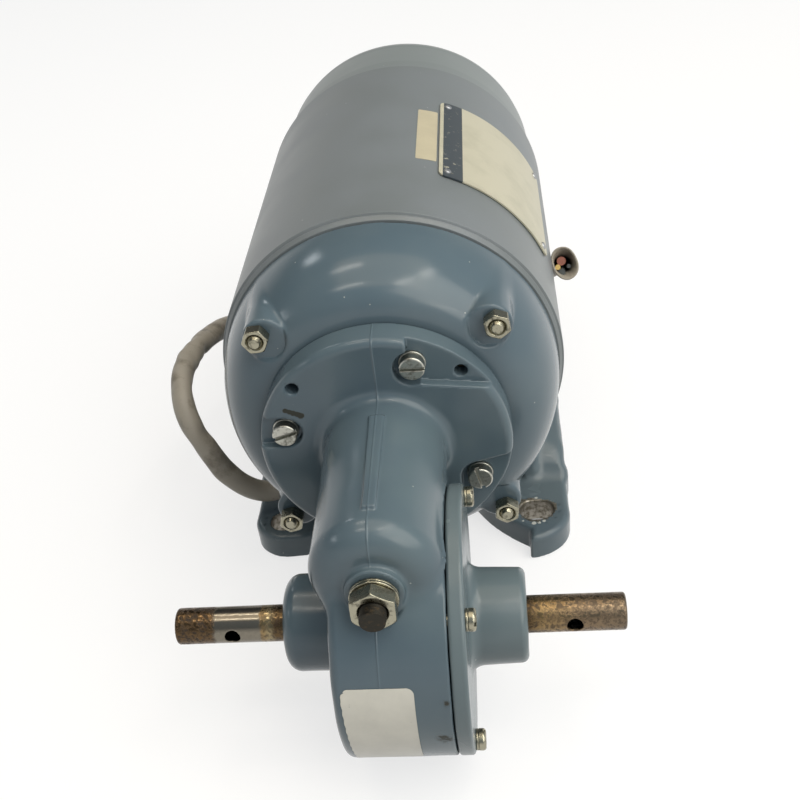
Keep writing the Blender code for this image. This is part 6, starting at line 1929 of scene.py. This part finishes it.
        def outline(v: Array) -> tuple[Array, Array]:
            """Give both half widths: round corners right, and a ragged tear at the upper left.

            Args:
                v: Places along the sheet.

            Returns:
                The left and the right half width.
            """
            over = np.maximum(np.abs(v) - (half_long - 2.4), 0)
            right = 10.5 - 2.4 + np.sqrt(np.maximum(2.4**2 - over**2, 0))
            tear = np.clip((v - (half_long - 3.2)) / 3.2, 0, 1)
            ragged = 0.5 * np.sin(v * 2.9) + 0.35 * np.sin(v * 6.7 + 1.0) + 0.25 * np.sin(v * 13.0)
            left = 11.3 - tear**2 * (2.0 + 0.9 * ragged) - 0.1 * (1 + np.sin(v * 1.7)) - 0.03 * (half_long - v)
            return left, right

        skin = bent_sheet(place, outline, half_long, 0.09, (64, 120))
        make_piece("drum_label", skin, Look.DRUM_LABEL, corners=Corners.BY_ANGLE)

    def build(self) -> None:
        """Build and dress the gearbox."""
        self.build_housing()
        self.build_cover()
        self.build_screws()
        self.build_adjuster()
        self.build_seal()
        self.build_label()


@dataclass
class OutputShaft:
    """The through output shaft with its two cross holes."""

    radius: float = 5.97
    ends: tuple[float, float] = (-71.0, 74.5)
    holes: tuple[float, float] = (-52.0, 58.2)
    hole_radius: float = 2.5
    axis_y: float = OUTPUT_Y
    axis_z: float = OUTPUT_Z

    def field(self, x: Array, y: Array, z: Array) -> Array:
        """Give the shaft: a rounded cylinder less the cross holes, with their mouths broken.

        Args:
            x: The points' x.
            y: The points' y.
            z: The points' z.

        Returns:
            The distance, negative inside.
        """
        away = np.hypot(y - self.axis_y, z - self.axis_z)
        solid = capped(away, x, self.radius, self.ends[0], self.ends[1], 0.9)
        for place in self.holes:
            hole = np.hypot(x - place, z - self.axis_z) - self.hole_radius
            solid = cut(solid, hole, 0.5)
        return solid

    def build(self) -> None:
        """Build the shaft."""
        step = detail(0.45)
        fine = [(-55.5, -48.5, detail(0.3)), (54.7, 61.7, detail(0.3))]
        across = grid_line(-72.0, 75.6, detail(0.7), fine)
        lines = (
            across, grid_line(self.axis_y - 6.9, self.axis_y + 6.9, step, []),
            grid_line(self.axis_z - 6.9, self.axis_z + 6.9, step, []),
        )
        make_piece(
            "output_through_shaft", zero_surface(self.field, lines), Look.SHAFT,
            ("output_shaft",), body=OUTPUT_BODY,
        )


@dataclass
class FootBracket:
    """The foot bracket: a saddle under the tube between two rails, with a slotted pad at each corner."""

    half_width: float = 64.0
    front: float = 30.0
    nose: float = 23.5
    rear: float = 151.0
    bottom: float = -84.0
    pad_top: float = -73.0
    rail_top: float = -59.0
    slot_radius: float = 5.5
    slot_half_run: float = 1.2
    dish_radius: float = 88.0
    dish_depth: float = 0.4
    dish_reach: float = 9.0
    saddle_radius: float = 62.8
    slot_x: float = 50.8
    slot_y: tuple[float, float] = (40.6, 140.4)

    def field(self, x: Array, y: Array, z: Array) -> Array:
        """Give the bracket: rails and saddle, pads swept in towards the middle, and the slots.

        Args:
            x: The points' x.
            y: The points' y.
            z: The points' z.

        Returns:
            The distance, negative inside.
        """
        side = np.abs(x)
        middle = (self.front + self.rear) / 2
        along = np.abs(y - middle)
        half = (self.rear - self.front) / 2
        # Rails and saddle between the pads.
        rails = block(x, y, z, (-self.half_width, self.front + 30.0, self.bottom),
                      (self.half_width, self.rear - 30.0, self.rail_top), 2.5)
        slope = (side - 47.0) * 0.32 + (z - self.rail_top) * 0.95
        rails = common(rails, slope, 3.0)
        shoulder = 0.6 * (self.front + 30.5 - y) + 0.8 * (z + 69.5)
        rails = common(rails, shoulder, 5.0)
        cheek = block(x, y, z, (-51.5, self.front + 30.0, -70.5), (51.5, self.rear - 30.0, -43.0), 1.5)
        lean = (side - 49.0) * 0.96 + (z + 46.0) * 0.28
        cheek = common(cheek, lean, 2.0)
        solid = joined(rails, cheek, 4.0)
        # The hollow under the web, between the rails' sloping inner walls.
        web = common(side - 51.5 + 0.52 * (z + 84.0) - 3.5, z + 70.5, 2.0)
        solid = cut(solid, web, 1.2)
        # Three pads in plan: a round outer corner, and an inner edge that sweeps away in a curve.
        outer = np.hypot(np.maximum(side - (self.half_width - 13.0), 0), np.maximum(along - (half - 13.0), 0)) - 13.0
        depth = half - along
        sweep = 46.8 - 19.8 * np.sin(np.arccos(np.clip(1 - depth / 30.0, 0, 1)))
        rear_pads = common(outer, (sweep - side) * 0.8, 1.0)
        # The right front pad reaches further: its inner edge runs slanting, then straight to a nose.
        ahead = y - self.nose
        outer = np.hypot(np.maximum(side - (self.half_width - 17.0), 0), np.maximum(17.0 - ahead, 0)) - 17.0
        across = ((side - 39.1) - (y - 38.3)) * 0.7071
        slant = -((side - 39.1) + (y - 38.3)) * 0.7071 - 1.4 * (1 - (across / 13.0) ** 2)
        inner = joined(47.5 - side, common(slant, 5.2 - ahead, 1.0), 1.0)
        front_pads = common(outer, inner, 1.0)
        pads = np.where((y < middle) & (x > 0), front_pads, rear_pads)
        pads = np.maximum(pads, (half - 34.0) - along)
        pads = common(common(pads, z - self.pad_top, 2.8), self.bottom - z, 0.8)
        solid = joined(solid, pads, 4.5)
        solid = cut(solid, np.hypot(x, z) - self.saddle_radius, 0.6)
        for place in self.slot_y:
            beyond = np.maximum(np.abs(side - self.slot_x) - self.slot_half_run, 0)
            slot = np.hypot(beyond, y - place) - self.slot_radius
            # A shallow worn dish round each slot: a large sphere's cap, 0.4 mm deep.
            away = np.hypot(side - self.slot_x, y - place)
            sphere = np.hypot(away, z - (self.pad_top + self.dish_radius)) - (self.dish_radius + self.dish_depth)
            dish = np.maximum(sphere, away - self.dish_reach)
            solid = cut(solid, np.maximum(dish, z - (self.pad_top + 4.0)), 0.6)
            solid = cut(solid, slot, 0.8)
        solid = common(solid, self.bottom - z, 0.5)
        return solid + unevenness(x, y, z, 0.12, 19.0)

    def build(self) -> None:
        """Build the bracket and bare its slots."""
        step = detail(0.95)
        lines = (
            grid_line(-66.0, 66.0, step, []), grid_line(21.8, 153.0, step, [(21.8, 52.0, detail(0.75))]),
            grid_line(-85.6, -41.0, step, [(-75.5, -70.0, detail(0.6))]),
        )
        skin = zero_surface(self.field, lines)
        bracket = make_piece("motor_foot_bracket", skin, Look.BRACKET, ("foot_bracket",))
        self.bare_slots(bracket)

    def bare_slots(self, bracket: bpy.types.Object) -> None:
        """Give the slots' walls and the right front slot's worn rim bare metal.

        Args:
            bracket: The bracket's object.
        """
        mesh = bracket.data
        mesh.materials.append(material_of(Look.WORN_STEEL))
        centres = np.zeros(len(mesh.polygons) * 3)
        mesh.polygons.foreach_get("center", centres)
        x, y, z = (centres.reshape(-1, 3) / MM - ORIGIN).T
        side = np.abs(x)
        bare = np.zeros(len(x), bool)
        for place in self.slot_y:
            slot = np.hypot(np.maximum(np.abs(side - self.slot_x) - 1.0, 0), y - place)
            ragged = 0.5 * np.sin(3.1 * np.arctan2(y - place, side - self.slot_x) + 0.7) + 0.25 * np.sin(y * 2.3 + x)
            reach = np.where((x > 0) & (y < 60), 6.9 + ragged, 6.05)
            bare |= (slot < reach) & (z > self.bottom + 0.6)
        mesh.polygons.foreach_set("material_index", bare.astype(np.int32))


@dataclass
class HiddenWorks:
    """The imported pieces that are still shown: bearings, rotor, stator, gears, seals and base screws."""

    def dress(self, nodes: dict[str, bpy.types.Object]) -> None:
        """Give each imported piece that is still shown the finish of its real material.

        Args:
            nodes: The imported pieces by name.
        """
        rules = (
            (("stator_core", "rotor_core"), Look.LAMINATION),
            (("stator_winding",), Look.COPPER),
            (("rotor_cage",), Look.ALUMINIUM),
            (("worm_wheel", "worm_bush", "left_bush", "right_bush"), Look.BRONZE),
            (("worm_seal", "right_shaft_seal"), Look.RUBBER),
            (("base_screw_1", "base_screw_2", "base_screw_3", "base_screw_4"), Look.ZINC),
        )
        chosen = {node: look for names, look in rules for node in names}
        for name, node in nodes.items():
            if node.hide_render:
                continue
            look = chosen.get(name, Look.WORN_STEEL)
            node.data.materials.clear()
            node.data.materials.append(material_of(look))
            LOG.info("%s: packed piece dressed as %s", name, look.value.name)


def main() -> None:
    """Build the studio, then the motor's pieces in order."""
    logging.basicConfig(level=logging.INFO, format="%(message)s")
    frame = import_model()
    Studio().build()
    MotorLead().build()
    for part in (MotorBody(), Gearbox(), OutputShaft(), FootBracket()):
        part.build()
    HiddenWorks().dress(frame["nodes"])


if __name__ == "__main__":
    main()
